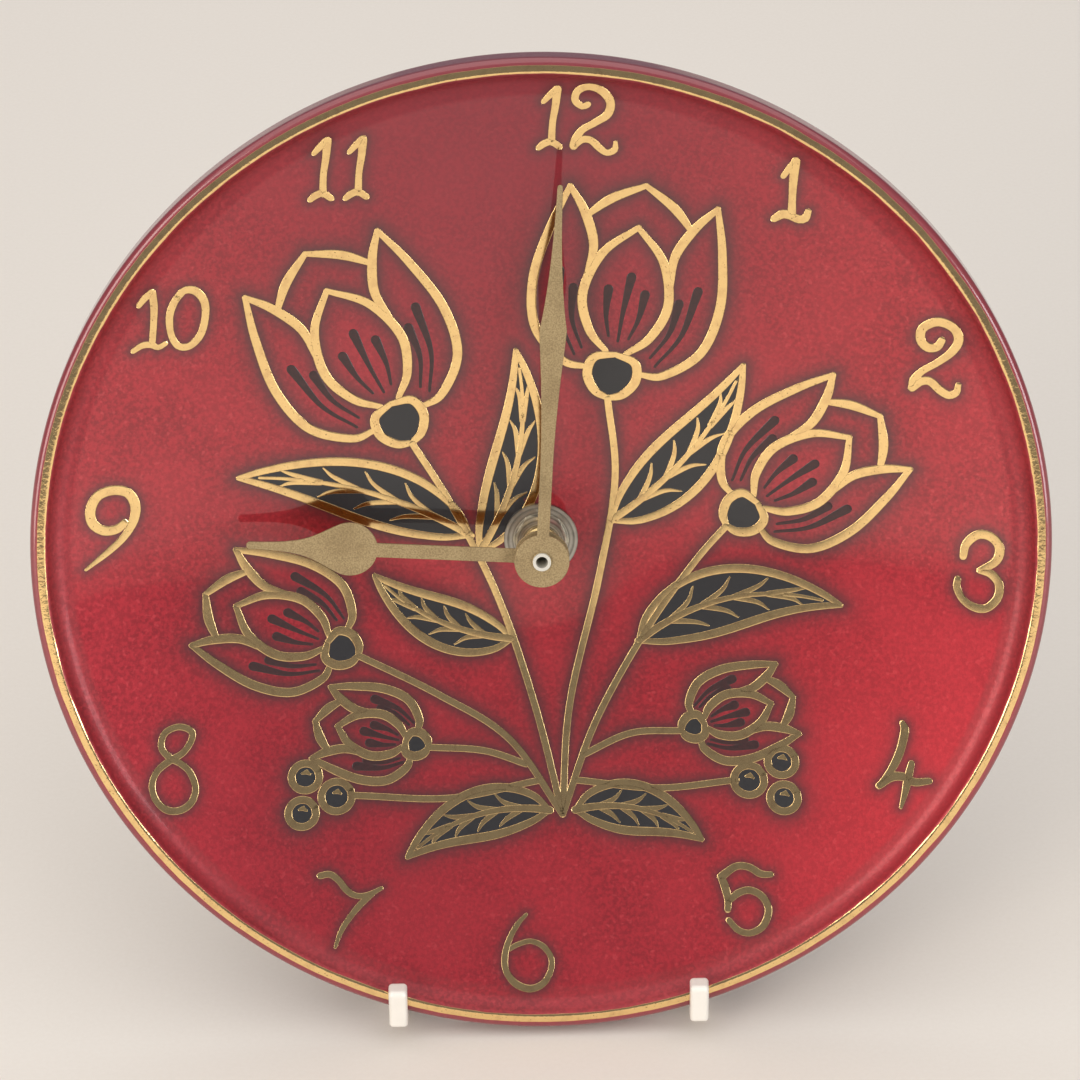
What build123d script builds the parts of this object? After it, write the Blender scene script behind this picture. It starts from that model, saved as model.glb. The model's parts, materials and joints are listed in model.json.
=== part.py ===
from build123d import *
import os
from math import acos, cos, hypot, pi, radians, sin, sqrt, tan

# A plate clock: a glazed dish with a gilt lip, a quartz movement bolted through its middle, and a small
# moulded stand that it leans on. Millimetres, +Z up, the dial faces -Y, the stand's feet are on Z = 0.

# Dial plate
plate_diameter = 230.0
dish_depth = 14.5  # front of the lip to the middle of the dial
plate_wall = 4.5
rim_depth = 7.0  # outer wall of the rim, front to back
lip_width = 3.6
lip_round = 1.4
cove_width = 1.8  # the steep step from the lip down to the dish
cove_depth = 2.6
pad_diameter = 24.0  # flat round the centre hole, front and back
foot_ring_diameter = 124.0
foot_ring_width = 5.0
foot_ring_drop = 0.8  # how far the ring stands behind the middle of the plate
lean = 15.0  # degrees back from upright
dial_roll = 3.5  # degrees clockwise that the clock is turned on its stand
floor_gap = 0.5

# Stand
peg_spacing = 69.5
peg_width = 4.3
peg_thickness = 4.6
peg_height = 10.0
peg_round = 1.2
hook_drop = 0.75  # underside of the hook's front below the front of its seat
seat_clearance = 0.2
rest_clearance = 0.25
stand_depth = 92.0
upright_reach = 40.0  # top of the upright below the middle of the dial
upright_thickness = 7.0
strut_thickness = 6.5
rail_height = 8.0
foot_length = 12.0
foot_lift = 1.4  # underside of the rail between its feet
window_round = 2.0
bar_diameter = 5.0
bar_spigot = 3.0
bar_setback = 7.0  # from the ends of the frame
frame_round = 0.9
edge_round = 0.5

# Fixing through the plate
bush_diameter = 8.0
bush_reach = 5.0  # threaded end in front of the dial
bush_chamfer = 0.4
hole_clearance = 0.2
washer_diameter = 16.8
washer_thickness = 0.8
nut_width = 11.4
nut_thickness = 2.6
nut_chamfer = 0.7
nut_bevel = 22.5  # degrees
gasket_diameter = 23.0
gasket_thickness = 1.2
hanger_thickness = 1.0
hanger_width = 20.0
hanger_rise = 10.0  # loop above the movement case
hanger_round = 3.3
nail_hole = 6.0
flange_diameter = 11.0
flange_thickness = 0.8

# Hands and the tubes that carry them
running_clearance = 0.05
fit_clearance = 0.01
seconds_arbor = 2.5
minute_tube_bore = 2.7
minute_tube = 4.1
hour_tube = 5.6
tube_proud = 0.8
hand_thickness = 0.5
hub_diameter = 12.4
collet_height = 1.8
collet_wall = 0.9
hour_hand_height = 12.8  # back of the hand in front of the dial
minute_hand_height = 16.0
hour_length = 66.5
hour_stem = 3.3
hour_bulb_place = 43.2
hour_bulb_diameter = 12.5
hour_taper_start = 25.0  # degrees round the bulb
hour_tip = 1.7
minute_length = 87.1
minute_stem = 2.8
minute_swell_start = 20.0  # where the stem starts to widen
minute_blade_place = 54.0
minute_blade = 6.1
minute_tip = 1.2

# Wheel train
tooth_fill = 0.8  # share of the half pitch that a tooth fills
addendum = 0.75
dedendum = 1.15
pressure_angle = 20.0
motion_module = 0.5
third_module = 0.33
seconds_module = 0.4
rotor_module = 0.36
cannon_leaves = 12
motion_teeth = 36
motion_leaves = 8
hour_teeth = 32
setting_leaves = 12
seconds_leaves = 8
third_teeth = 60
third_leaves = 8
centre_teeth = 64
seconds_teeth = 50
intermediate_leaves = 10
intermediate_teeth = 36
rotor_leaves = 6
motion_direction = 150.0  # where each arbor stands from the one before it
setting_direction = 110.0
third_direction = 18.0
intermediate_direction = 90.0
rotor_direction = 90.0
wheel_thickness = 0.9
level_gap = 0.6
arbor_diameter = 1.4
pivot_diameter = 0.8
pivot_length = 0.9
end_shake = 0.15
clutch_thickness = 0.3
clutch_width = 1.2
rotor_diameter = 4.8
rotor_height = 4.0

# Movement case, battery and electrics
case_wall = 1.5
case_round = 2.5
partition = 1.2
wheel_room = 0.6
motor_room = 1.5
battery_diameter = 14.5
battery_length = 50.5
battery_nub_diameter = 5.5
battery_nub = 1.3
battery_clearance = 0.3
contact_room = 1.3
contact_thickness = 0.3
contact_width = 9.0
contact_tab = 1.6
leaf_width = 4.5
bridge_thickness = 1.0
board_thickness = 0.8
board_width = 7.0
board_clearance = 0.3
chip_diameter = 4.5
chip_height = 0.9
chip_round = 0.4
chip_place = 8.0
crystal_diameter = 2.0
crystal_length = 6.0
crystal_place = -9.0
cover_room = 0.2  # over the tallest piece on the board
post_diameter = 4.4
post_inset = 3.2
boss_diameter = 2.2
screw_diameter = 2.0
screw_head = 3.6
screw_head_height = 0.9
screw_length = 5.0
stator_thickness = 1.0
stator_width = 10.0
stator_length = 27.0
stator_round = 2.5
stator_gap = 0.5
core_width = 2.0
core_thickness = 1.2
core_leg = 2.0
bobbin_wall = 0.3
bobbin_flange = 0.8
bobbin_overhang = 0.3
coil_clearance = 0.2
setting_shaft = 3.0
knob_diameter = 12.0
knob_height = 4.0
knob_gap = 0.5
knob_flutes = 18
flute_diameter = 1.2

os.makedirs("parts", exist_ok=True)


def export(piece, name):
    """Label a finished piece and write it under its own name."""
    piece.part.label = name
    export_step(piece.part, f"parts/{name}.step")


# Where the clock stands: the plate's lowest edge clears the floor, and the rim fits behind the pegs
lean_sin = sin(radians(lean))
lean_cos = cos(radians(lean))
rim_radius = plate_diameter / 2
rim_back = dish_depth - rim_depth
dial_z = floor_gap + rim_radius * lean_cos - rim_back * lean_sin
peg_x = peg_spacing / 2
peg_inside = peg_x - peg_width / 2
lip_radius = rim_radius - lip_round
lip_drop = sqrt(lip_radius**2 - peg_inside**2)
lip_reach = lip_drop * lean_sin + dish_depth * lean_cos
front_y = -stand_depth / 2
back_y = stand_depth / 2
peg_back_y = front_y + peg_thickness
dial_y = peg_back_y + rest_clearance + lip_reach

dial = Plane(origin=(0, dial_y, dial_z), x_dir=(1, 0, 0), z_dir=(0, -lean_cos, lean_sin))
roll = radians(dial_roll)
clock = Plane(dial.origin, x_dir=dial.x_dir * cos(roll) - dial.y_dir * sin(roll), z_dir=dial.z_dir)
profile = Plane(origin=dial.origin, x_dir=dial.x_dir, z_dir=-dial.y_dir)
dial_axis = Axis(dial.origin, dial.z_dir)


def at(height, place=(0, 0)):
    """A plane square to the clock's axis, at a height in front of the dial's middle."""
    origin = clock.from_local_coords((place[0], place[1], height))
    return Plane(origin=origin, x_dir=clock.x_dir, z_dir=clock.z_dir)


def polar(distance, direction, start=(0, 0)):
    """A place at a distance from another, in the clock's own directions."""
    turn = radians(direction)
    return start[0] + distance * cos(turn), start[1] + distance * sin(turn)


def round_bar(back, front, place, diameter, mode=Mode.ADD):
    """A round bar or hole along the clock's axis between two heights."""
    with BuildSketch(at(back, place)) as section:
        Circle(diameter / 2)
    extrude(section.sketch, amount=front - back, mode=mode)


# Heights behind the dial, from the plate's back to the movement's cover
plate_back = -plate_wall
gasket_back = plate_back - gasket_thickness
case_front = gasket_back - hanger_thickness
case_inside = case_front - case_wall
flange_back = case_inside - flange_thickness


def level(number):
    """Back face of the wheels on one level of the train, counted from the dial."""
    return flange_back - (number + 1) * (wheel_thickness + level_gap)


bridge_front = level(5) - level_gap
bridge_back = bridge_front - bridge_thickness
board_back = bridge_back - board_thickness
cover_front = board_back - max(crystal_diameter, chip_height, screw_head_height) - cover_room
cover_back = cover_front - case_wall
battery_height = case_inside - battery_clearance - battery_diameter / 2
case_back = min(cover_back, battery_height - battery_diameter / 2)

# Centres and sizes of the train: each pair of wheels shares one centre distance
motion_distance = motion_module * (cannon_leaves + motion_teeth) / 2
hour_module = 2 * motion_distance / (motion_leaves + hour_teeth)
setting_distance = motion_module * (motion_teeth + setting_leaves) / 2
third_distance = third_module * (seconds_leaves + third_teeth) / 2
centre_module = 2 * third_distance / (third_leaves + centre_teeth)
intermediate_distance = seconds_module * (seconds_teeth + intermediate_leaves) / 2
rotor_distance = rotor_module * (intermediate_teeth + rotor_leaves) / 2
centre = (0, 0)
motion_place = polar(motion_distance, motion_direction)
setting_place = polar(setting_distance, setting_direction, motion_place)
third_place = polar(third_distance, third_direction)
intermediate_place = polar(intermediate_distance, intermediate_direction)
rotor_place = polar(rotor_distance, rotor_direction, intermediate_place)


def tip_radius(teeth, module):
    """Radius over the tips of a wheel's teeth."""
    return module * (teeth / 2 + addendum)


# The case: as wide as the battery and its contacts, with the train above the battery bay
train_radius = max(
    tip_radius(hour_teeth, hour_module),
    tip_radius(centre_teeth, centre_module),
    tip_radius(seconds_teeth, seconds_module),
)
bay_half = battery_length / 2 + contact_room
case_half = bay_half + case_wall
partition_top = -train_radius - wheel_room
bay_top = partition_top - partition
bay_bottom = bay_top - battery_diameter - 2 * battery_clearance
case_bottom = bay_bottom - case_wall
battery_y = (bay_top + bay_bottom) / 2
room_top = rotor_place[1] + stator_width / 2 + motor_room
case_top = room_top + case_wall
post_x = bay_half - post_inset
post_places = [
    (post_x, partition_top + post_inset),
    (post_x, room_top / 2),
    (-post_x, partition_top + post_inset),
    (-post_x, room_top - post_inset),
]
stator_front = level(2) + wheel_thickness
stator_back = stator_front - stator_thickness
stator_left = rotor_place[0] - stator_width / 2
stator_right = stator_left + stator_length
boss_places = [
    (stator_left + boss_diameter / 2, rotor_place[1]),
    (stator_right - boss_diameter, rotor_place[1]),
]


# Dial plate: one thrown and glazed dish, flat round its hole, with a rounded lip and a foot ring behind
pad_radius = pad_diameter / 2
hole_radius = bush_diameter / 2 + hole_clearance
dish_radius = rim_radius - lip_width - cove_width
with BuildPart() as dial_plate:
    with BuildSketch(profile) as section:
        with BuildLine():
            Line((hole_radius, 0), (pad_radius, 0))
            TangentArc((pad_radius, 0), (dish_radius, dish_depth - cove_depth), tangent=(1, 0))
            Line((dish_radius, dish_depth - cove_depth), (rim_radius - lip_width, dish_depth))
            Line((rim_radius - lip_width, dish_depth), (rim_radius, dish_depth))
            Line((rim_radius, dish_depth), (rim_radius, rim_back))
            TangentArc((pad_radius, plate_back), (rim_radius, rim_back), tangent=(1, 0))
            Line((pad_radius, plate_back), (hole_radius, plate_back))
            Line((hole_radius, plate_back), (hole_radius, 0))
        make_face()
        fillet(section.vertices().group_by(Axis.Y)[-1], lip_round)
        cove = section.vertices().sort_by_distance((dish_radius, dish_depth - cove_depth))[0]
        fillet(cove, lip_round)
    revolve(axis=dial_axis)
    with BuildSketch(dial.offset(plate_back - foot_ring_drop)):
        Circle(foot_ring_diameter / 2 + foot_ring_width / 2)
        Circle(foot_ring_diameter / 2 - foot_ring_width / 2, mode=Mode.SUBTRACT)
    extrude(until=Until.NEXT)
export(dial_plate, "dial_plate")


# Stand: two moulded side frames with a hook in front, joined by two round bars
def side(up, out):
    """A point beside the plate, measured up the plate and out from the dial, as world Y and Z."""
    return dial_y + up * lean_sin - out * lean_cos, dial_z + up * lean_cos + out * lean_sin


lean_tan = tan(radians(lean))
seat_y, seat_z = side(-sqrt(rim_radius**2 - peg_inside**2) - seat_clearance, rim_back)
seat_front_z = seat_z + (seat_y - peg_back_y) * lean_tan
hook_lift = seat_front_z - hook_drop
rest_out = plate_back - foot_ring_drop - rest_clearance
upright_foot = side((seat_z - dial_z - rest_out * lean_sin) / lean_cos, rest_out)
upright_top = side(-upright_reach, rest_out)
strut_slope = (back_y - upright_top[0] - upright_thickness) / (upright_top[1] - rail_height)
window_front_y = upright_foot[0] + upright_thickness + (rail_height - seat_z) * lean_tan
window_back_y = back_y - strut_thickness * hypot(1, strut_slope)
window_rise = (window_back_y - window_front_y) / (strut_slope + lean_tan)
window_top = (window_front_y + window_rise * lean_tan, rail_height + window_rise)
top_bar_y = upright_top[0] + upright_thickness / 2 - (bar_setback - upright_thickness / 2) * lean_tan
bar_places = {
    "stand_rear_bar": (back_y - bar_setback, rail_height / 2),
    "stand_top_bar": (top_bar_y, upright_top[1] - bar_setback + upright_thickness / 2),
}


def upright_plane(x, y=0, z=0):
    """A plane across the stand, with its own axes along world Y and Z."""
    return Plane(origin=(x, y, z), x_dir=(0, 1, 0), z_dir=(1, 0, 0))


def stand_frame(x):
    """One side frame in an upright plane under the plate's rim."""
    with BuildPart() as frame:
        with BuildSketch(upright_plane(x)) as section:
            with BuildLine():
                Polyline(
                    (front_y, hook_lift),
                    (front_y, hook_lift + peg_height),
                    (peg_back_y, hook_lift + peg_height),
                    (peg_back_y, seat_front_z),
                    (seat_y, seat_z),
                    upright_foot,
                    upright_top,
                    (upright_top[0] + upright_thickness, upright_top[1]),
                    (back_y, rail_height),
                    (back_y, 0),
                    (back_y - foot_length, 0),
                    (back_y - foot_length, foot_lift),
                    (peg_back_y + 2 * foot_length, foot_lift),
                    (peg_back_y + 2 * foot_length, 0),
                    (peg_back_y + foot_length, 0),
                    close=True,
                )
            make_face()
            fillet(section.vertices().group_by(Axis.X)[0], peg_round)
            peg_top = section.vertices().sort_by_distance((peg_back_y, hook_lift + peg_height))[0]
            fillet(peg_top, peg_round)
            fillet(section.vertices().group_by(Axis.Y)[-1], window_round)
            with BuildSketch(mode=Mode.SUBTRACT) as window:
                with BuildLine():
                    Polyline(
                        (window_front_y, rail_height),
                        window_top,
                        (window_back_y, rail_height),
                        close=True,
                    )
                make_face()
                fillet(window.vertices(), window_round)
        extrude(amount=peg_width / 2, both=True)
        faces = frame.faces().filter_by(Axis.X)
        fillet(faces.edges(), frame_round)
        for y, z in bar_places.values():
            with BuildSketch(upright_plane(x, y, z)):
                Circle(bar_spigot / 2 + fit_clearance)
            extrude(amount=peg_width, both=True, mode=Mode.SUBTRACT)
    return frame


export(stand_frame(-peg_x), "stand_left_frame")
export(stand_frame(peg_x), "stand_right_frame")

for bar_name, (bar_y, bar_z) in bar_places.items():
    with BuildPart() as stand_bar:
        with BuildSketch(upright_plane(0, bar_y, bar_z)):
            Circle(bar_diameter / 2)
        extrude(amount=peg_inside, both=True)
        with BuildSketch(upright_plane(0, bar_y, bar_z)):
            Circle(bar_spigot / 2)
        extrude(amount=peg_inside + peg_width, both=True)
    export(stand_bar, bar_name)


# Fixing: a threaded bush through case, hanger, gasket and plate, with a washer and nut on the dial
with BuildPart() as threaded_bush:
    round_bar(flange_back, case_inside, centre, flange_diameter)
    round_bar(flange_back, bush_reach, centre, bush_diameter)
    chamfer(threaded_bush.edges().group_by(dial_axis)[-1], bush_chamfer)
    round_bar(flange_back, bush_reach, centre, hour_tube + 2 * running_clearance, Mode.SUBTRACT)
export(threaded_bush, "threaded_bush")

with BuildPart() as front_washer:
    round_bar(0, washer_thickness, centre, washer_diameter)
    round_bar(0, washer_thickness, centre, bush_diameter + 2 * hole_clearance, Mode.SUBTRACT)
export(front_washer, "front_washer")

nut_front = washer_thickness + nut_thickness
with BuildPart() as fixing_nut:
    with BuildSketch(at(washer_thickness)):
        RegularPolygon(nut_width / 2, 6, major_radius=False)
    extrude(amount=nut_thickness)
    with BuildSketch(at(washer_thickness)):
        Circle(nut_width / 2 + nut_chamfer)
    extrude(amount=nut_thickness + nut_chamfer, taper=nut_bevel, mode=Mode.INTERSECT)
    round_bar(washer_thickness, nut_front, centre, bush_diameter + 2 * fit_clearance, Mode.SUBTRACT)
export(fixing_nut, "fixing_nut")

with BuildPart() as rubber_gasket:
    round_bar(gasket_back, plate_back, centre, gasket_diameter)
    round_bar(gasket_back, plate_back, centre, bush_diameter + 2 * hole_clearance, Mode.SUBTRACT)
export(rubber_gasket, "rubber_gasket")

hanger_top = case_top + hanger_rise
with BuildPart() as hanger:
    round_bar(case_front, gasket_back, centre, gasket_diameter)
    with BuildSketch(at(case_front)):
        with Locations((0, hanger_top / 2)):
            Rectangle(hanger_width, hanger_top)
    extrude(amount=hanger_thickness)
    nail_place = (0, case_top + hanger_rise / 2)
    round_bar(case_front, gasket_back, nail_place, nail_hole, Mode.SUBTRACT)
    round_bar(case_front, gasket_back, centre, bush_diameter + 2 * hole_clearance, Mode.SUBTRACT)
    corners = hanger.edges().filter_by(dial_axis).group_by(Axis(dial.origin, clock.y_dir))[-1]
    fillet(corners, hanger_round)
export(hanger, "hanger")


# Movement case: a moulded tray with posts and pivot holes, and an open bay for the battery
def block(back, front, low, high, half_width, mode=Mode.ADD):
    """A block across the case between two heights, from a low to a high edge."""
    with BuildSketch(at(back, (0, (low + high) / 2))) as section:
        Rectangle(2 * half_width, high - low)
    extrude(section.sketch, amount=front - back, mode=mode)


def case_block(back, front):
    """The case's rounded outline between two heights."""
    with BuildSketch(at(back, (0, (case_bottom + case_top) / 2))) as section:
        RectangleRounded(2 * case_half, case_top - case_bottom, case_round)
    extrude(section.sketch, amount=front - back)


pivot_hole = pivot_diameter + 2 * running_clearance
pivot_end = pivot_length + end_shake
arbor_places = [motion_place, setting_place, third_place, intermediate_place, rotor_place]
notch_width = contact_thickness + board_clearance
cover_low = bay_top + partition / 2
with BuildPart() as movement_case:
    case_block(case_back, case_front)
    block(case_back, case_inside, partition_top, room_top, bay_half, Mode.SUBTRACT)
    block(case_back, case_inside, bay_bottom, bay_top, bay_half, Mode.SUBTRACT)
    block(case_back, cover_front, cover_low, case_top, case_half, Mode.SUBTRACT)
    with BuildSketch(at(case_back, (0, cover_low))):
        with GridLocations(2 * bay_half - notch_width, 0, 2, 1):
            Rectangle(notch_width, 3 * partition)
    extrude(amount=bridge_back + contact_tab - case_back, mode=Mode.SUBTRACT)
    for post_place in post_places:
        round_bar(bridge_front, case_inside, post_place, post_diameter)
        round_bar(bridge_front, case_inside, post_place, screw_diameter + 2 * fit_clearance, Mode.SUBTRACT)
    for boss_place in boss_places:
        round_bar(stator_front, case_inside, boss_place, boss_diameter)
    for arbor_place in arbor_places:
        round_bar(case_inside, case_inside + pivot_end, arbor_place, pivot_hole, Mode.SUBTRACT)
    round_bar(case_inside, case_front, centre, bush_diameter + 2 * fit_clearance, Mode.SUBTRACT)
export(movement_case, "movement_case")

with BuildPart() as movement_cover:
    case_block(cover_back, cover_front)
    block(cover_back, cover_front, case_bottom, cover_low + fit_clearance, case_half, Mode.SUBTRACT)
    round_bar(cover_back, cover_front, setting_place, setting_shaft + 2 * running_clearance, Mode.SUBTRACT)
export(movement_cover, "movement_cover")

bridge_low = partition_top + board_clearance
bridge_high = room_top - board_clearance
bridge_half = bay_half - notch_width
with BuildPart() as train_bridge:
    block(bridge_back, bridge_front, bridge_low, bridge_high, bridge_half)
    for post_place in post_places:
        round_bar(bridge_back, bridge_front, post_place, screw_diameter + 2 * hole_clearance, Mode.SUBTRACT)
    for arbor_place in [centre, motion_place, third_place, intermediate_place, rotor_place]:
        round_bar(bridge_back, bridge_front, arbor_place, pivot_hole, Mode.SUBTRACT)
    shaft_hole = setting_shaft + 2 * hole_clearance
    round_bar(bridge_back, bridge_front, setting_place, shaft_hole, Mode.SUBTRACT)
export(train_bridge, "train_bridge")

board_high = bridge_low + board_width
board_y = (bridge_low + board_high) / 2
screw_seats = [board_back if place[1] < board_high else bridge_back for place in post_places]
with BuildPart() as bridge_screws:
    for post_place, seat in zip(post_places, screw_seats):
        round_bar(seat - screw_head_height, seat, post_place, screw_head)
        round_bar(seat, seat + screw_length, post_place, screw_diameter)
export(bridge_screws, "bridge_screws")


# Electrics: a narrow board on the bridge beside the battery, and a stepping motor above the train
with BuildPart() as circuit_board:
    block(board_back, bridge_back, bridge_low, board_high, bridge_half)
    for post_place in post_places[::2]:
        round_bar(board_back, bridge_back, post_place, screw_diameter + 2 * hole_clearance, Mode.SUBTRACT)
export(circuit_board, "circuit_board")

with BuildPart() as driver_chip:
    round_bar(board_back - chip_height, board_back, (chip_place, board_y), chip_diameter)
    fillet(driver_chip.edges().group_by(dial_axis)[0], chip_round)
export(driver_chip, "driver_chip")


def along_case(x, y, height):
    """A plane square to the case's width, with its own axes up the case and out from the dial."""
    origin = clock.from_local_coords((x, y, height))
    return Plane(origin=origin, x_dir=clock.y_dir, z_dir=clock.x_dir)


crystal_height = board_back - crystal_diameter / 2 - fit_clearance
with BuildPart() as quartz_crystal:
    with BuildSketch(along_case(crystal_place, board_y, crystal_height)):
        Circle(crystal_diameter / 2)
    extrude(amount=crystal_length / 2, both=True)
export(quartz_crystal, "quartz_crystal")

battery_left = -bay_half + contact_thickness + fit_clearance
battery_right = battery_left + battery_length
with BuildPart() as battery:
    with BuildSketch(along_case(battery_left, battery_y, battery_height)):
        Circle(battery_nub_diameter / 2)
    extrude(amount=battery_nub)
    with BuildSketch(along_case(battery_left + battery_nub, battery_y, battery_height)):
        Circle(battery_diameter / 2)
    extrude(amount=battery_length - battery_nub)
    fillet(battery.edges().group_by(Axis(dial.origin, clock.x_dir))[-1], edge_round)
export(battery, "battery")

contact_low = min(board_back, battery_height - contact_width / 2)
contact_high = battery_height + contact_width / 2


def contact_blade(x):
    """The flat blade of a battery contact, with a tab past the partition to the board's end."""
    with BuildSketch(along_case(x, 0, 0)) as section:
        with Locations((battery_y, (contact_low + contact_high) / 2)):
            Rectangle(contact_width, contact_high - contact_low)
        with Locations(((battery_y + board_y) / 2, board_back + contact_tab / 2)):
            Rectangle(board_y - battery_y, contact_tab)
    extrude(section.sketch, amount=contact_thickness)


with BuildPart() as positive_contact:
    contact_blade(-bay_half)
export(positive_contact, "positive_contact")

leaf_x = bay_half - contact_thickness
leaf_reach = leaf_x - battery_right - fit_clearance
leaf_half = contact_width / 2
across_case = Plane(
    origin=clock.from_local_coords((0, battery_y, battery_height)), x_dir=clock.x_dir, z_dir=-clock.y_dir
)
with BuildPart() as negative_contact:
    contact_blade(leaf_x)
    with BuildSketch(across_case):
        with BuildLine():
            ThreePointArc((leaf_x, -leaf_half), (leaf_x - leaf_reach, 0), (leaf_x, leaf_half))
            Line((leaf_x, leaf_half), (leaf_x, leaf_half - contact_thickness))
            ThreePointArc(
                (leaf_x, leaf_half - contact_thickness),
                (leaf_x - leaf_reach + contact_thickness, 0),
                (leaf_x, contact_thickness - leaf_half),
            )
            Line((leaf_x, contact_thickness - leaf_half), (leaf_x, -leaf_half))
        make_face()
    extrude(amount=leaf_width / 2, both=True)
export(negative_contact, "negative_contact")

with BuildPart() as stator:
    with BuildSketch(at(stator_back, (stator_left + stator_length / 2, rotor_place[1]))):
        RectangleRounded(stator_length, stator_width, stator_round)
    extrude(amount=stator_thickness)
    rotor_hole = rotor_diameter + 2 * stator_gap
    round_bar(stator_back, stator_front, rotor_place, rotor_hole, Mode.SUBTRACT)
export(stator, "stator")

coil_height = (stator_back + bridge_front) / 2
flange_radius = (stator_back - bridge_front) / 2 - coil_clearance
core_left = stator_left + stator_width + core_leg
core_middle = (core_left + stator_right) / 2
core_half = (stator_right - core_left) / 2
bobbin_half = core_half - core_leg - coil_clearance
bobbin_bore = hypot(core_width, core_thickness) / 2
tube_radius = bobbin_bore + bobbin_wall
motor_section = Plane(
    origin=clock.from_local_coords((core_middle, rotor_place[1], coil_height)),
    x_dir=clock.x_dir,
    z_dir=-clock.y_dir,
)
with BuildPart() as coil_core:
    with BuildSketch(motor_section):
        Rectangle(2 * core_half, core_thickness)
        with GridLocations(2 * core_half - core_leg, 0, 2, 1):
            Rectangle(core_leg, 2 * (stator_back - coil_height))
        with Locations((0, -core_thickness / 2)):
            below = (Align.CENTER, Align.MAX)
            Rectangle(2 * core_half, stator_back - coil_height, align=below, mode=Mode.SUBTRACT)
    extrude(amount=core_width / 2, both=True)
export(coil_core, "coil_core")

coil_middle = along_case(core_middle, rotor_place[1], coil_height)
with BuildPart() as coil_bobbin:
    with BuildSketch(coil_middle):
        Circle(tube_radius)
    extrude(amount=bobbin_half, both=True)
    for end in (-1, 1):
        with BuildSketch(coil_middle.offset(end * (bobbin_half - bobbin_flange / 2))):
            Circle(flange_radius)
        extrude(amount=bobbin_flange / 2, both=True)
    with BuildSketch(coil_middle):
        Rectangle(core_width + 2 * fit_clearance, core_thickness + 2 * fit_clearance)
    extrude(amount=bobbin_half, both=True, mode=Mode.SUBTRACT)
export(coil_bobbin, "coil_bobbin")

with BuildPart() as coil_winding:
    with BuildSketch(coil_middle):
        Circle(flange_radius - bobbin_overhang)
        Circle(tube_radius + fit_clearance, mode=Mode.SUBTRACT)
    extrude(amount=bobbin_half - bobbin_flange - fit_clearance, both=True)
export(coil_winding, "coil_winding")


# Wheel train: thin-toothed moulded wheels whose arbors turn between the case and the bridge
def tooth_outline(teeth, module, turn):
    """The corners of a toothed wheel, with a tooth at the angle turn and involute flanks as chords."""
    pitch = module * teeth / 2
    base = pitch * cos(radians(pressure_angle))
    root = pitch - dedendum * module
    flank = [root, pitch, tip_radius(teeth, module)]
    if base > root:
        flank.insert(1, base)
    pitch_half = tooth_fill * pi / (2 * teeth) + tan(radians(pressure_angle)) - radians(pressure_angle)
    corners = []
    for tooth in range(teeth):
        middle = radians(turn) + 2 * pi * tooth / teeth
        for sign, radii in ((-1, flank), (1, flank[::-1])):
            for radius in radii:
                unrolled = acos(min(1, base / radius))
                half = pitch_half - tan(unrolled) + unrolled
                corners.append((radius * cos(middle + sign * half), radius * sin(middle + sign * half)))
    return corners


def toothed_disc(number, place, teeth, module, turn):
    """A wheel or pinion on one level of the train."""
    with BuildSketch(at(level(number), place)) as section:
        with BuildLine():
            Polyline(*tooth_outline(teeth, module, turn), close=True)
        make_face()
    extrude(section.sketch, amount=wheel_thickness)


def meshing_turn(direction, teeth, partner_teeth, turn=0):
    """The angle that sets a partner's gap on a tooth of a wheel whose own first tooth is at turn."""
    return direction + 180 + 180 / partner_teeth - (turn - direction) * teeth / partner_teeth


def arbor(place):
    """An arbor between the case and the bridge, with a thinner pivot at each end."""
    back = bridge_front + end_shake
    front = case_inside - end_shake
    round_bar(back, front, place, arbor_diameter)
    round_bar(back - pivot_length, front + pivot_length, place, pivot_diameter)


with BuildPart() as cannon_pinion:
    tube_back = level(2) - clutch_thickness - 2 * running_clearance
    tube_front = minute_hand_height + hand_thickness + tube_proud
    round_bar(tube_back, tube_front, centre, minute_tube)
    toothed_disc(1, centre, cannon_leaves, motion_module, 0)
    round_bar(tube_back, tube_front, centre, minute_tube_bore, Mode.SUBTRACT)
export(cannon_pinion, "cannon_pinion")

with BuildPart() as clutch_spring:
    clutch_front = level(2) - running_clearance
    round_bar(clutch_front - clutch_thickness, clutch_front, centre, minute_tube + 2 * clutch_width)
    clutch_bore = minute_tube + 2 * fit_clearance
    round_bar(clutch_front - clutch_thickness, clutch_front, centre, clutch_bore, Mode.SUBTRACT)
export(clutch_spring, "clutch_spring")

motion_turn = meshing_turn(motion_direction, cannon_leaves, motion_teeth)
with BuildPart() as motion_wheel:
    toothed_disc(1, motion_place, motion_teeth, motion_module, motion_turn)
    toothed_disc(0, motion_place, motion_leaves, hour_module, 0)
    arbor(motion_place)
export(motion_wheel, "motion_wheel")

hour_turn = meshing_turn(motion_direction + 180, motion_leaves, hour_teeth)
with BuildPart() as hour_wheel:
    toothed_disc(0, centre, hour_teeth, hour_module, hour_turn)
    round_bar(level(0), hour_hand_height + hand_thickness, centre, hour_tube)
    hour_bore = minute_tube + 2 * running_clearance
    round_bar(level(0), hour_hand_height + hand_thickness, centre, hour_bore, Mode.SUBTRACT)
export(hour_wheel, "hour_wheel")

with BuildPart() as centre_wheel:
    centre_turn = meshing_turn(third_direction + 180, third_leaves, centre_teeth)
    toothed_disc(2, centre, centre_teeth, centre_module, centre_turn)
    centre_bore = minute_tube + 2 * running_clearance
    round_bar(level(2), level(2) + wheel_thickness, centre, centre_bore, Mode.SUBTRACT)
export(centre_wheel, "centre_wheel")

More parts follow.
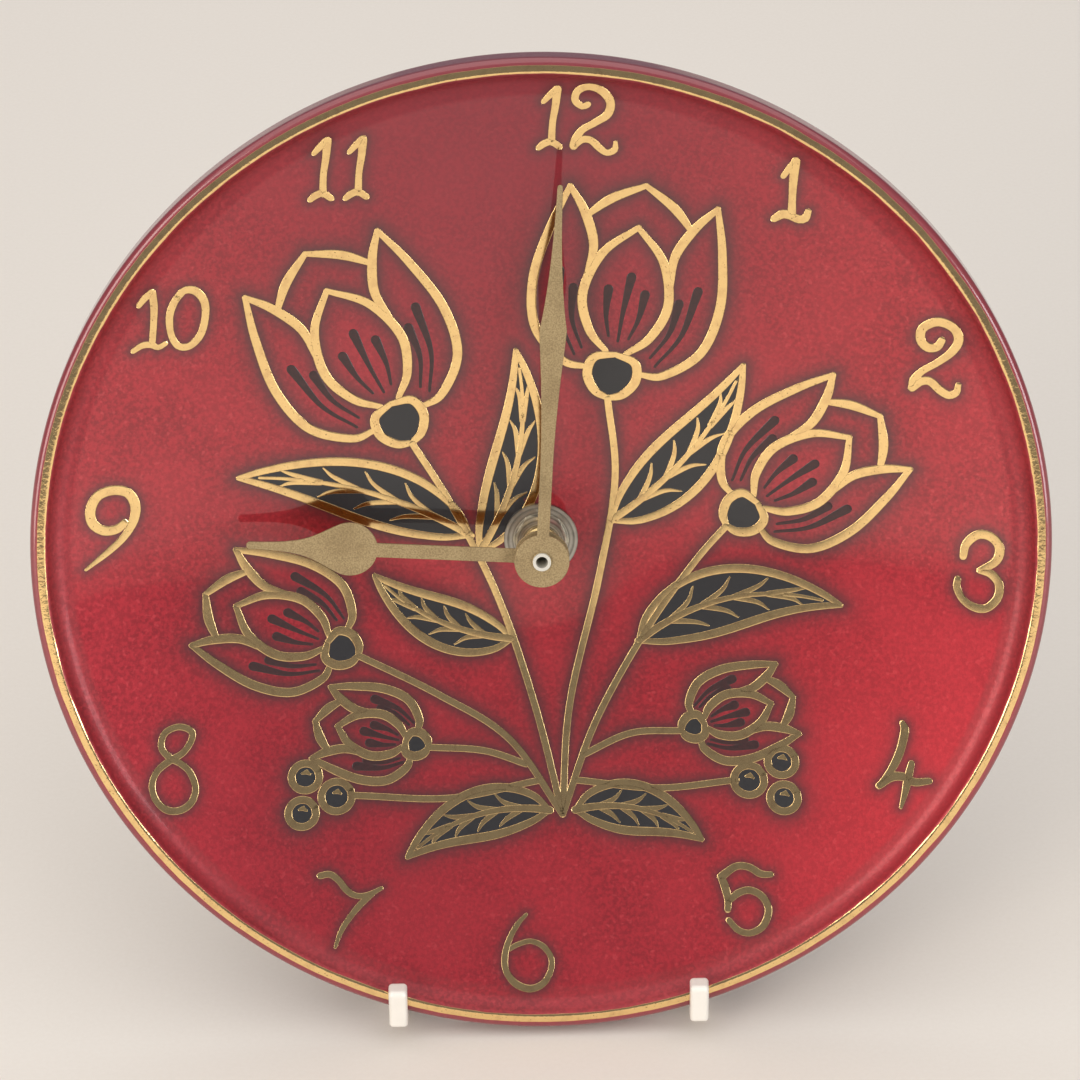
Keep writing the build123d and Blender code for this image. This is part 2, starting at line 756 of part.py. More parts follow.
with BuildPart() as third_wheel:
    third_turn = meshing_turn(third_direction, seconds_leaves, third_teeth)
    toothed_disc(3, third_place, third_teeth, third_module, third_turn)
    toothed_disc(2, third_place, third_leaves, centre_module, 0)
    arbor(third_place)
export(third_wheel, "third_wheel")

with BuildPart() as seconds_wheel:
    toothed_disc(3, centre, seconds_leaves, third_module, 0)
    toothed_disc(4, centre, seconds_teeth, seconds_module, 0)
    seconds_back = bridge_front + end_shake
    round_bar(seconds_back, level(3), centre, arbor_diameter)
    round_bar(seconds_back - pivot_length, seconds_back, centre, pivot_diameter)
    round_bar(level(3) + wheel_thickness, 0, centre, seconds_arbor)
export(seconds_wheel, "seconds_wheel")

with BuildPart() as intermediate_wheel:
    leaves_turn = meshing_turn(intermediate_direction, seconds_teeth, intermediate_leaves)
    toothed_disc(4, intermediate_place, intermediate_leaves, seconds_module, leaves_turn)
    toothed_disc(5, intermediate_place, intermediate_teeth, rotor_module, 0)
    arbor(intermediate_place)
export(intermediate_wheel, "intermediate_wheel")

with BuildPart() as rotor_pinion:
    rotor_turn = meshing_turn(rotor_direction, intermediate_teeth, rotor_leaves)
    toothed_disc(5, rotor_place, rotor_leaves, rotor_module, rotor_turn)
    arbor(rotor_place)
export(rotor_pinion, "rotor_pinion")

magnet_back = (stator_front + stator_back - rotor_height) / 2
with BuildPart() as rotor_magnet:
    round_bar(magnet_back, magnet_back + rotor_height, rotor_place, rotor_diameter)
    magnet_bore = arbor_diameter + 2 * fit_clearance
    round_bar(magnet_back, magnet_back + rotor_height, rotor_place, magnet_bore, Mode.SUBTRACT)
export(rotor_magnet, "rotor_magnet")

knob_front = cover_back - knob_gap
knob_back = knob_front - knob_height
with BuildPart() as setting_pinion:
    setting_turn = meshing_turn(setting_direction, motion_teeth, setting_leaves, motion_turn)
    toothed_disc(1, setting_place, setting_leaves, motion_module, setting_turn)
    shaft_front = case_inside - end_shake
    round_bar(knob_back + knob_height / 2, shaft_front, setting_place, setting_shaft)
    round_bar(shaft_front, shaft_front + pivot_length, setting_place, pivot_diameter)
export(setting_pinion, "setting_pinion")

with BuildPart() as setting_knob:
    round_bar(knob_back, knob_front, setting_place, knob_diameter)
    fillet(setting_knob.edges().group_by(dial_axis)[0], edge_round)
    with BuildSketch(at(knob_back, setting_place)):
        with PolarLocations(knob_diameter / 2, knob_flutes):
            Circle(flute_diameter / 2)
    extrude(amount=knob_height, mode=Mode.SUBTRACT)
    knob_bore = setting_shaft + 2 * fit_clearance
    socket_end = knob_back + knob_height / 2 - fit_clearance
    round_bar(socket_end, knob_front, setting_place, knob_bore, Mode.SUBTRACT)
export(setting_knob, "setting_knob")


# Hands: stamped blades on turned collets, the minute hand at twelve and the hour hand at nine
def hand_collet(height, tube):
    """A turned collet pushed on a tube, with a neck through the hand."""
    with BuildPart() as collet:
        round_bar(height - collet_height, height, centre, tube + 4 * collet_wall)
        round_bar(height, height + hand_thickness, centre, tube + 2 * collet_wall)
        collet_bore = tube + 2 * fit_clearance
        round_bar(height - collet_height, height + hand_thickness, centre, collet_bore, Mode.SUBTRACT)
    return collet


export(hand_collet(hour_hand_height, hour_tube), "hour_collet")
export(hand_collet(minute_hand_height, minute_tube), "minute_collet")

bulb_radius = hour_bulb_diameter / 2
across = bulb_radius * cos(radians(hour_taper_start))
along = bulb_radius * sin(radians(hour_taper_start))
shoulder = (across, hour_bulb_place + along)
with BuildPart() as hour_hand:
    with BuildSketch(Plane(at(hour_hand_height).origin, x_dir=clock.y_dir, z_dir=clock.z_dir)):
        with Locations((0, hour_bulb_place)):
            Circle(bulb_radius)
        with Locations((0, hour_bulb_place / 2)):
            Rectangle(hour_stem, hour_bulb_place)
        with BuildLine():
            Line((0, shoulder[1]), shoulder)
            Bezier(
                shoulder,
                (shoulder[0] - along, shoulder[1] + across),
                (hour_tip / 2, shoulder[1] + bulb_radius),
                (hour_tip / 2, hour_length - hour_tip / 2),
            )
            RadiusArc((hour_tip / 2, hour_length - hour_tip / 2), (0, hour_length), -hour_tip / 2)
            mirror(about=Plane.YZ)
        make_face()
        Circle(hub_diameter / 2)
        Circle(hour_tube / 2 + collet_wall + fit_clearance, mode=Mode.SUBTRACT)
    extrude(amount=hand_thickness)
export(hour_hand, "hour_hand")

with BuildPart() as minute_hand:
    with BuildSketch(at(minute_hand_height)):
        with BuildLine():
            Line((0, 0), (minute_stem / 2, 0))
            Line((minute_stem / 2, 0), (minute_stem / 2, minute_swell_start))
            Bezier(
                (minute_stem / 2, minute_swell_start),
                (minute_stem / 2, (minute_swell_start + minute_blade_place) / 2),
                (minute_blade * 0.475, minute_blade_place - minute_blade * 2 / 3),
                (minute_blade / 2, minute_blade_place),
            )
            Bezier(
                (minute_blade / 2, minute_blade_place),
                (minute_blade * 0.36, minute_blade_place + minute_blade * 3 / 4),
                (minute_tip * 3 / 4, minute_blade_place + minute_blade * 2.3),
                (minute_tip / 2, minute_length - minute_tip / 2),
            )
            RadiusArc((minute_tip / 2, minute_length - minute_tip / 2), (0, minute_length), -minute_tip / 2)
            mirror(about=Plane.YZ)
        make_face()
        Circle(hub_diameter / 2)
        Circle(minute_tube / 2 + collet_wall + fit_clearance, mode=Mode.SUBTRACT)
    extrude(amount=hand_thickness)
export(minute_hand, "minute_hand")
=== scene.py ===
import json
from math import atan2, cos, hypot, pi, radians, sin, sqrt, tan

import bpy
import numpy as np
from mathutils import Matrix, Vector, kdtree


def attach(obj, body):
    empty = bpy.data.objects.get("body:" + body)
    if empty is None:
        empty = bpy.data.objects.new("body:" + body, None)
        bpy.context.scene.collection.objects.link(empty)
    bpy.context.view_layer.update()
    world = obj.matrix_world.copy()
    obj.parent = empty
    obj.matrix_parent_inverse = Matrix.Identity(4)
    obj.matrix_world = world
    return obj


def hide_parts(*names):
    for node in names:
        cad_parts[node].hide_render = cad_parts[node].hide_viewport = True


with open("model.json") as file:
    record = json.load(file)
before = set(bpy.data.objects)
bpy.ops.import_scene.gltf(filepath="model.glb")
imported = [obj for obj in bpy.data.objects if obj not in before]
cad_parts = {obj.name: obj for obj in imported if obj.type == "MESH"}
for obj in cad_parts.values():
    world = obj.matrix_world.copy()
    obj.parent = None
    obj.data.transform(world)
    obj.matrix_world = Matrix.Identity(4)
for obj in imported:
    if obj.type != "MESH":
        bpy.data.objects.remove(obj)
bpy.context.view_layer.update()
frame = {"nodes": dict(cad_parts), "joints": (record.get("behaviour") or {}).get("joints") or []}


# Dish: the dial is a shallow earthenware dish, pressed in a mould and turned with a foot ring
# behind. It is dipped in a mottled red glaze that thins to mauve on the lip's outer edge and
# ends behind the rim in an uneven line, and a brush has laid a gilt band round the lip.
mm = 0.001
spindle = next(joint for joint in frame["joints"] if joint["name"] == "minute_turn")
dial_middle = np.array(spindle["pos_m"])
dial_normal = np.array(spindle["axis"])
dial_across = np.array((1.0, 0.0, 0.0))
dial_up = np.cross(dial_normal, dial_across)


def on_dial(points):
    """Places of points given as x, y and height over the dial's middle, in millimetres."""
    return dial_middle + mm * np.asarray(points) @ np.array((dial_across, dial_up, dial_normal))


pad_radius = 12.0
bore_radius = 4.2
bowl_edge = (109.6, 11.9)
lip_inside = (111.4, 14.5)
lip_rounding = 1.4
cove_rounding = 6.0
lip_fall = 0.1
plate_radius = 115.0
wall_foot = 7.5
pad_back = -4.5
foot_ring = (59.5, 64.5)
foot_back = -5.3
bowl_radius = ((bowl_edge[0] - pad_radius) ** 2 + bowl_edge[1] ** 2) / (2 * bowl_edge[1])
back_rise = wall_foot - pad_back
back_radius = ((plate_radius - pad_radius) ** 2 + back_rise**2) / (2 * back_rise)


def bowl(radius):
    """Height of the dish's front at a radius."""
    return bowl_radius - np.sqrt(bowl_radius**2 - np.clip(radius - pad_radius, 0, None) ** 2)


def back(radius):
    """Height of the dish's back at a radius."""
    return pad_back + back_radius - np.sqrt(back_radius**2 - np.clip(radius - pad_radius, 0, None) ** 2)


def unevenness(x, y):
    """How far the glaze stands over the true bowl: slow waves left by the mould and the dip."""
    radius = np.hypot(x, y)
    fade = np.clip((radius - 10) / 14, 0, 1) * np.clip((108 - radius) / 10, 0, 1)
    return 0.035 * fade * (np.sin(x / 13 + 0.8 * np.sin(y / 21)) + np.sin(y / 15 - x / 27))


def rounded(corners, steps=7):
    """The line through corners of (radius, height, rounding), with its corners rounded."""
    line = []
    for number, (radius, height, rounding) in enumerate(corners):
        here = Vector((radius, height))
        if not rounding:
            line.append(here)
            continue
        before = (Vector(corners[number - 1][:2]) - here).normalized()
        after = (Vector(corners[number + 1][:2]) - here).normalized()
        half_angle = before.angle(after) / 2
        middle = here + (before + after).normalized() * rounding / sin(half_angle)
        first = here + before * rounding / tan(half_angle) - middle
        last = here + after * rounding / tan(half_angle) - middle
        swing = first.angle_signed(last)
        for step in range(steps + 1):
            line.append(middle + Matrix.Rotation(-swing * step / steps, 2) @ first)
    return line


corners = [(bore_radius, 0, 0), (8, 0, 0), (pad_radius, 0, 0)]
corners += [(radius, float(bowl(radius)), 0) for radius in np.arange(12.8, 107.0, 0.8)]
corners += [(*bowl_edge, cove_rounding), (*lip_inside, lip_rounding)]
corners += [(plate_radius, lip_inside[1] - lip_fall, lip_rounding)]
corners += [(plate_radius, height, 0) for height in (12.0, 11.0, 10.0, 9.0)]
corners += [(plate_radius, wall_foot, 1.0)]
corners += [(radius, float(back(radius)), 0) for radius in np.arange(112, 66.5, -1.5)]
corners += [(foot_ring[1], float(back(foot_ring[1])), 0.8), (foot_ring[1], foot_back, 1.2)]
corners += [(foot_ring[0], foot_back, 1.2), (foot_ring[0], float(back(foot_ring[0])), 0.8)]
corners += [(radius, float(back(radius)), 0) for radius in np.arange(57, 13, -2)]
corners += [(pad_radius, pad_back, 0), (bore_radius, pad_back, 0)]
profile = rounded(corners)

spokes = 640
rings = len(profile)
angles = np.arange(spokes) * 2 * pi / spokes
radii = np.array([point.x for point in profile])
heights = np.array([point.y for point in profile])
dish_x = np.outer(radii, np.cos(angles))
dish_y = np.outer(radii, np.sin(angles))
dish_height = np.repeat(heights[:, None], spokes, axis=1)
lip_ring = int(np.argmax(heights + radii))
dish_height[:lip_ring] += unevenness(dish_x, dish_y)[:lip_ring]
dish_points = np.stack((dish_x, dish_y, dish_height), axis=-1).reshape(-1, 3)
ring_steps = np.hypot(np.diff(radii), np.diff(heights))
past_lip = np.concatenate(([0], np.cumsum(ring_steps)))
past_lip -= past_lip[lip_ring]


def quads(rows, columns, close_rows=False):
    """Faces of a grid of points whose rows are closed loops."""
    faces = []
    for row in range(rows if close_rows else rows - 1):
        start, other = row * columns, (row + 1) % rows * columns
        for column in range(columns):
            beside = (column + 1) % columns
            faces.append((start + column, start + beside, other + beside, other + column))
    return faces


class Wire:
    """An output of a finish's node; arithmetic on it adds Math nodes."""

    def __init__(self, finish, socket):
        self.finish = finish
        self.socket = socket

    def maths(self, operation, *values):
        return self.finish.add("Math", {"operation": operation}, dict(enumerate(values)))

    def __add__(self, other):
        return self.maths("ADD", self, other)

    def __sub__(self, other):
        return self.maths("SUBTRACT", self, other)

    def __rsub__(self, other):
        return self.maths("SUBTRACT", other, self)

    def __mul__(self, other):
        return self.maths("MULTIPLY", self, other)

    def __truediv__(self, other):
        return self.maths("DIVIDE", self, other)

    def __pow__(self, other):
        return self.maths("POWER", self, other)

    __radd__ = __add__
    __rmul__ = __mul__


class Finish:
    """A procedural material, whose nodes all come from add."""

    def __init__(self, name):
        self.material = bpy.data.materials.new(name)
        self.material.use_nodes = True
        self.tree = self.material.node_tree
        self.tree.nodes.clear()

    def add(self, kind, settings, sockets, output=0):
        node = self.tree.nodes.new("ShaderNode" + kind)
        for name, value in settings.items():
            setattr(node, name, value)
        for name, value in sockets.items():
            if isinstance(value, Wire):
                self.tree.links.new(value.socket, node.inputs[name])
            else:
                node.inputs[name].default_value = value
        return Wire(self, node.outputs[output]) if node.outputs else None

    def place(self):
        return self.add("TexCoord", {}, {}, "Object")

    def grain(self, size, detail=2.0, stretch=None):
        """Noise from 0 to 1 whose grains are about size millimetres."""
        place = self.place()
        if stretch:
            place = self.add("VectorMath", {"operation": "MULTIPLY"}, {0: place, 1: stretch})
        scale = 1 / (size * mm)
        return self.add("TexNoise", {}, {"Vector": place, "Scale": scale, "Detail": detail}, "Fac")

    def painted(self, name):
        """A value that the mesh carries for each point."""
        return self.add("Attribute", {"attribute_name": name}, {}, "Fac")

    def ramp(self, value, low, high, start=0.0, end=1.0):
        """Smoothly from start to end as value goes from low to high."""
        settings = {"interpolation_type": "SMOOTHSTEP"}
        return self.add("MapRange", settings, {0: value, 1: low, 2: high, 3: start, 4: end})

    def mix(self, first, second, share):
        """Colour between two colours."""
        sockets = {0: share, 6: first, 7: second}
        return self.add("Mix", {"data_type": "RGBA"}, sockets, 2)

    def from_spindle(self):
        """Distance from the hands' axis, in millimetres."""
        arm = self.add("VectorMath", {"operation": "SUBTRACT"}, {0: self.place(), 1: tuple(dial_middle)})
        side = self.add("VectorMath", {"operation": "CROSS_PRODUCT"}, {0: arm, 1: tuple(dial_normal)})
        return self.add("VectorMath", {"operation": "LENGTH"}, {0: side}, "Value") * 1000

    def away_from(self, spot):
        """Distance from a spot on the dial, in millimetres."""
        sockets = {0: self.place(), 1: tuple(on_dial(spot))}
        return self.add("VectorMath", {"operation": "DISTANCE"}, sockets, "Value") * 1000

    def bump(self, height, depth, strength=1.0):
        """Normal of a surface whose height from 0 to 1 stands for depth millimetres."""
        return self.add("Bump", {}, {"Height": height, "Distance": depth * mm, "Strength": strength})

    def surface(self, **sockets):
        named = {name.replace("_", " "): value for name, value in sockets.items()}
        shader = self.add("BsdfPrincipled", {}, named)
        self.add("OutputMaterial", {}, {"Surface": shader})
        return self.material


def tint(red, green, blue):
    """A colour of a finish, with its alpha."""
    return (red, green, blue, 1.0)


gold_bright = tint(0.93, 0.65, 0.29)
gold_thin = tint(0.76, 0.50, 0.23)
gold_edge = tint(0.12, 0.05, 0.02)


def gold_wash(finish):
    """Colour and roughness of fired gold paint, thinner where the brush ran dry."""
    thin_and_painted_glow = finish.ramp(finish.grain(2.2, 3), 0.45, 0.72)
    speck = finish.ramp(finish.grain(0.42, 1), 0.68, 0.75)
    colour = finish.mix(finish.mix(gold_bright, gold_thin, thin_and_painted_glow * 0.7), gold_edge, speck * 0.7)
    return colour, 0.07 + 0.07 * finish.grain(0.8, 2) + 0.2 * speck


glaze = Finish("red_glaze")
fleck = glaze.ramp(glaze.grain(0.95, 2.5), 0.34, 0.68)
cloud = glaze.grain(17, 2)
red = glaze.mix(tint(0.25, 0.011, 0.018), tint(0.40, 0.020, 0.030), fleck)
grit = glaze.ramp(glaze.grain(1.2, 1), 0.60, 0.76)
red = glaze.mix(red, tint(0.56, 0.055, 0.065), 0.45 * grit)
red = glaze.mix(red, tint(0.47, 0.028, 0.040), 0.30 * glaze.ramp(cloud, 0.35, 0.70))
# Darker towards the top of the dial, fading out 110 mm below its top middle.
thick_and_top_darkening = glaze.ramp(glaze.away_from((-8, 105, 12)), 0, 110, 0.72, 0.0)
red = glaze.mix(red, tint(0.21, 0.018, 0.032), thick_and_top_darkening)
# Darker towards the lower left of the dial.
lower_left_darkening = glaze.ramp(glaze.away_from((-48, -66, 8)), 0, 60, 0.22, 0.0)
red = glaze.mix(red, tint(0.21, 0.010, 0.020), lower_left_darkening)
# Painted highlight: a brighter red towards the lower right stands in for the lamps' glow on the lustre
# there.
thin_and_painted_glow = glaze.ramp(glaze.away_from((92, -62, 12)), 0, 75, 0.40, 0.0)
red = glaze.mix(red, tint(0.62, 0.034, 0.044), thin_and_painted_glow)
shade = glaze.painted("shade")
red = glaze.mix(red, tint(0.030, 0.004, 0.005), shade)
ink = glaze.ramp(glaze.painted("ink"), 0.35, 0.65)
red = glaze.mix(red, tint(0.006, 0.005, 0.006), ink)
across_lip = glaze.painted("past_lip")
wander = glaze.grain(9, 3)
wall = glaze.ramp(across_lip, -1.5, -0.8)
cove = glaze.ramp(across_lip, -10.4, -8.9) * (1 - wall)
# Painted shade: the glaze colour is darkened in the cove below the lip, where shade falls.
red = glaze.mix(red, tint(0.10, 0.008, 0.010), 0.30 * cove)
red = glaze.mix(red, tint(0.20, 0.028, 0.036), 0.80 * wall)
behind = glaze.ramp(across_lip + 6 * wander, 27.0, 28.6)
clay = glaze.mix(tint(0.74, 0.66, 0.55), tint(0.80, 0.73, 0.63), glaze.grain(2.5, 3))
pit = glaze.ramp(glaze.grain(1.6, 1), 0.70, 0.75)
clay = glaze.mix(clay, tint(0.42, 0.30, 0.20), 0.6 * pit)
brim = glaze.ramp(across_lip + 6 * wander, 25.5, 27.2) * (1 - behind)
red = glaze.mix(red, tint(0.11, 0.012, 0.010), 0.7 * brim)
body_colour = glaze.mix(red, clay, behind)
gilt = glaze.ramp(across_lip + 0.7 * wander, -2.75, -2.55)
gilt = gilt * (1 - glaze.ramp(across_lip + 0.5 * wander, -1.0, -0.85))
gold_colour, gold_roughness = gold_wash(glaze)
lustre = 0.68 * (1 - 0.8 * wall) * (1 - 0.6 * cove) * (1 - ink) * (1 - 0.8 * shade) * (1 - behind)
glaze.surface(
    Base_Color=glaze.mix(body_colour, gold_colour, gilt),
    Metallic=lustre * (1 - gilt) + gilt,
    Roughness=(0.46 - 0.06 * fleck) * (1 - gilt) + gold_roughness * gilt,
    Normal=glaze.bump(fleck, 0.03, 0.35),
    Coat_Weight=(1 - gilt) * (1 - 0.5 * behind) * (1 - 0.92 * cove) * (1 - 0.45 * ink),
    Coat_Roughness=0.035,
)


def new_piece(name, points, faces, finish, body):
    """A mesh piece with one finish, riding on a body."""
    mesh = bpy.data.meshes.new(name)
    mesh.from_pydata(np.asarray(points).tolist(), [], faces)
    mesh.materials.append(finish)
    mesh.shade_smooth()
    made = bpy.data.objects.new(name, mesh)
    bpy.context.scene.collection.objects.link(made)
    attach(made, body)
    return made


def carry(made, name, values):
    """Gives each point of a piece's mesh a value that its finish reads."""
    field = made.data.attributes.new(name, "FLOAT", "POINT")
    field.data.foreach_set("value", np.ascontiguousarray(values, np.float32).ravel())


faces = [face[::-1] for face in quads(rings, spokes, close_rows=True)]
dish = new_piece("dial_dish", on_dial(dish_points), faces, glaze.material, "clock")
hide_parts("dial_plate")
carry(dish, "past_lip", np.repeat(past_lip, spokes))


# Numerals: the hours are brushed on the glaze in thick gold paint, by hand and each a little
# different, and fired on. Each stroke is a low bead with a thin dark edge on the red.
def smooth(points, step=0.5):
    """A smooth line through points, with whatever else each point carries, such as its width."""
    points = np.asarray(points, float)
    ends = np.vstack((2 * points[0] - points[1], points, 2 * points[-1] - points[-2]))
    line = []
    for a, b, c, d in zip(ends, ends[1:], ends[2:], ends[3:]):
        count = max(int(hypot(*(c - b)[:2]) / step), 1)
        for t in np.arange(count) / count:
            line.append(b + 0.5 * t * (c - a + t * (2 * a - 5 * b + 4 * c - d + t * (3 * (b - c) + d - a))))
    line.append(points[-1])
    return np.array(line)


bead_section = np.array((-1.0, -0.94, -0.86, -0.76, 0.76, 0.86, 0.94, 1.0))
bead_sink = 0.05
cap_turns = (1.35, 0.95, 0.5)


class Brush:
    """Gathers brush strokes on the dish, and makes one piece of their beads."""

    def __init__(self, height):
        self.height = height
        self.points = []
        self.faces = []
        self.edges = []
        self.trail = []

    def stroke(self, points, step=0.5):
        line = smooth(points, step)
        self.trail.extend(line.tolist())
        way = np.gradient(line[:, :2], axis=0)
        way /= np.maximum(np.hypot(way[:, 0], way[:, 1])[:, None], 1e-9)
        rows = []
        for end, sign in ((0, -1), (-1, 1)):
            tip, tip_way, tip_width = line[end, :2], way[end], line[end, 2]
            cap = [
                (tip + sign * tip_way * tip_width / 2 * sin(turn), tip_way, tip_width * cos(turn))
                for turn in cap_turns
            ]
            rows.append(cap if sign < 0 else cap[::-1])
        rows = rows[0] + [(row[:2], step_way, row[2]) for row, step_way in zip(line, way)] + rows[1]
        first = len(self.points)
        for middle, step_way, width in rows:
            side = np.array((-step_way[1], step_way[0]))
            for across in bead_section:
                x, y = middle + side * across * width / 2
                ground = np.interp(hypot(x, y), radii[:lip_ring], heights[:lip_ring]) + unevenness(x, y)
                rise = self.height * min(width / 1.6, 1.0) * sqrt(1 - across**24) - bead_sink * across**24
                self.points.append((x, y, ground + rise))
                self.edges.append(abs(across))
        count = len(bead_section)
        self.faces.extend(
            tuple(first + corner for corner in face) for face in quads(len(rows), count)
        )
        self.faces.append(tuple(first + corner for corner in range(count)))
        last = first + (len(rows) - 1) * count
        self.faces.append(tuple(last + corner for corner in reversed(range(count))))

    def piece(self, name, finish):
        made = new_piece(name, on_dial(self.points), self.faces, finish, "clock")
        carry(made, "edge", self.edges)
        return made

    def nearest(self, places):
        """Distance of each place from the edge of the nearest stroke."""
        tree = kdtree.KDTree(len(self.trail))
        for number, (x, y, _) in enumerate(self.trail):
            tree.insert((x, y, 0), number)
        tree.balance()
        found = [tree.find((x, y, 0)) for x, y in places]
        return np.array([gap - self.trail[number][2] / 2 for _, number, gap in found])


gilding = Finish("gilding")
gold_colour, gold_roughness = gold_wash(gilding)
margin = gilding.painted("edge")
streak = gilding.grain(0.35, 2)
gilding.surface(
    Base_Color=gilding.mix(gold_colour, gold_edge, 0.85 * gilding.ramp(margin + 0.25 * streak, 0.92, 1.16)),
    Metallic=1.0,
    Roughness=gold_roughness,
    Normal=gilding.bump(streak, 0.004, 0.2),
)

one_flag = ((-7.3, 4.5, 1.4), (-5.9, 6.0, 1.8), (-4.4, 7.4, 2.0))
one_stem = ((-4.3, 7.3, 2.3), (-4.7, 3.6, 2.0), (-5.4, -0.6, 1.8), (-5.7, -5.2, 2.0))
one_foot = ((-8.5, -6.5, 1.6), (-7.2, -5.5, 2.0), (-5.7, -5.1, 2.0), (-4.0, -6.3, 1.8))
one = (one_flag, one_stem, one_foot)


def shifted(strokes, across):
    """The same strokes, further along the line of writing."""
    return tuple(tuple((x + across, y, width) for x, y, width in stroke) for stroke in strokes)


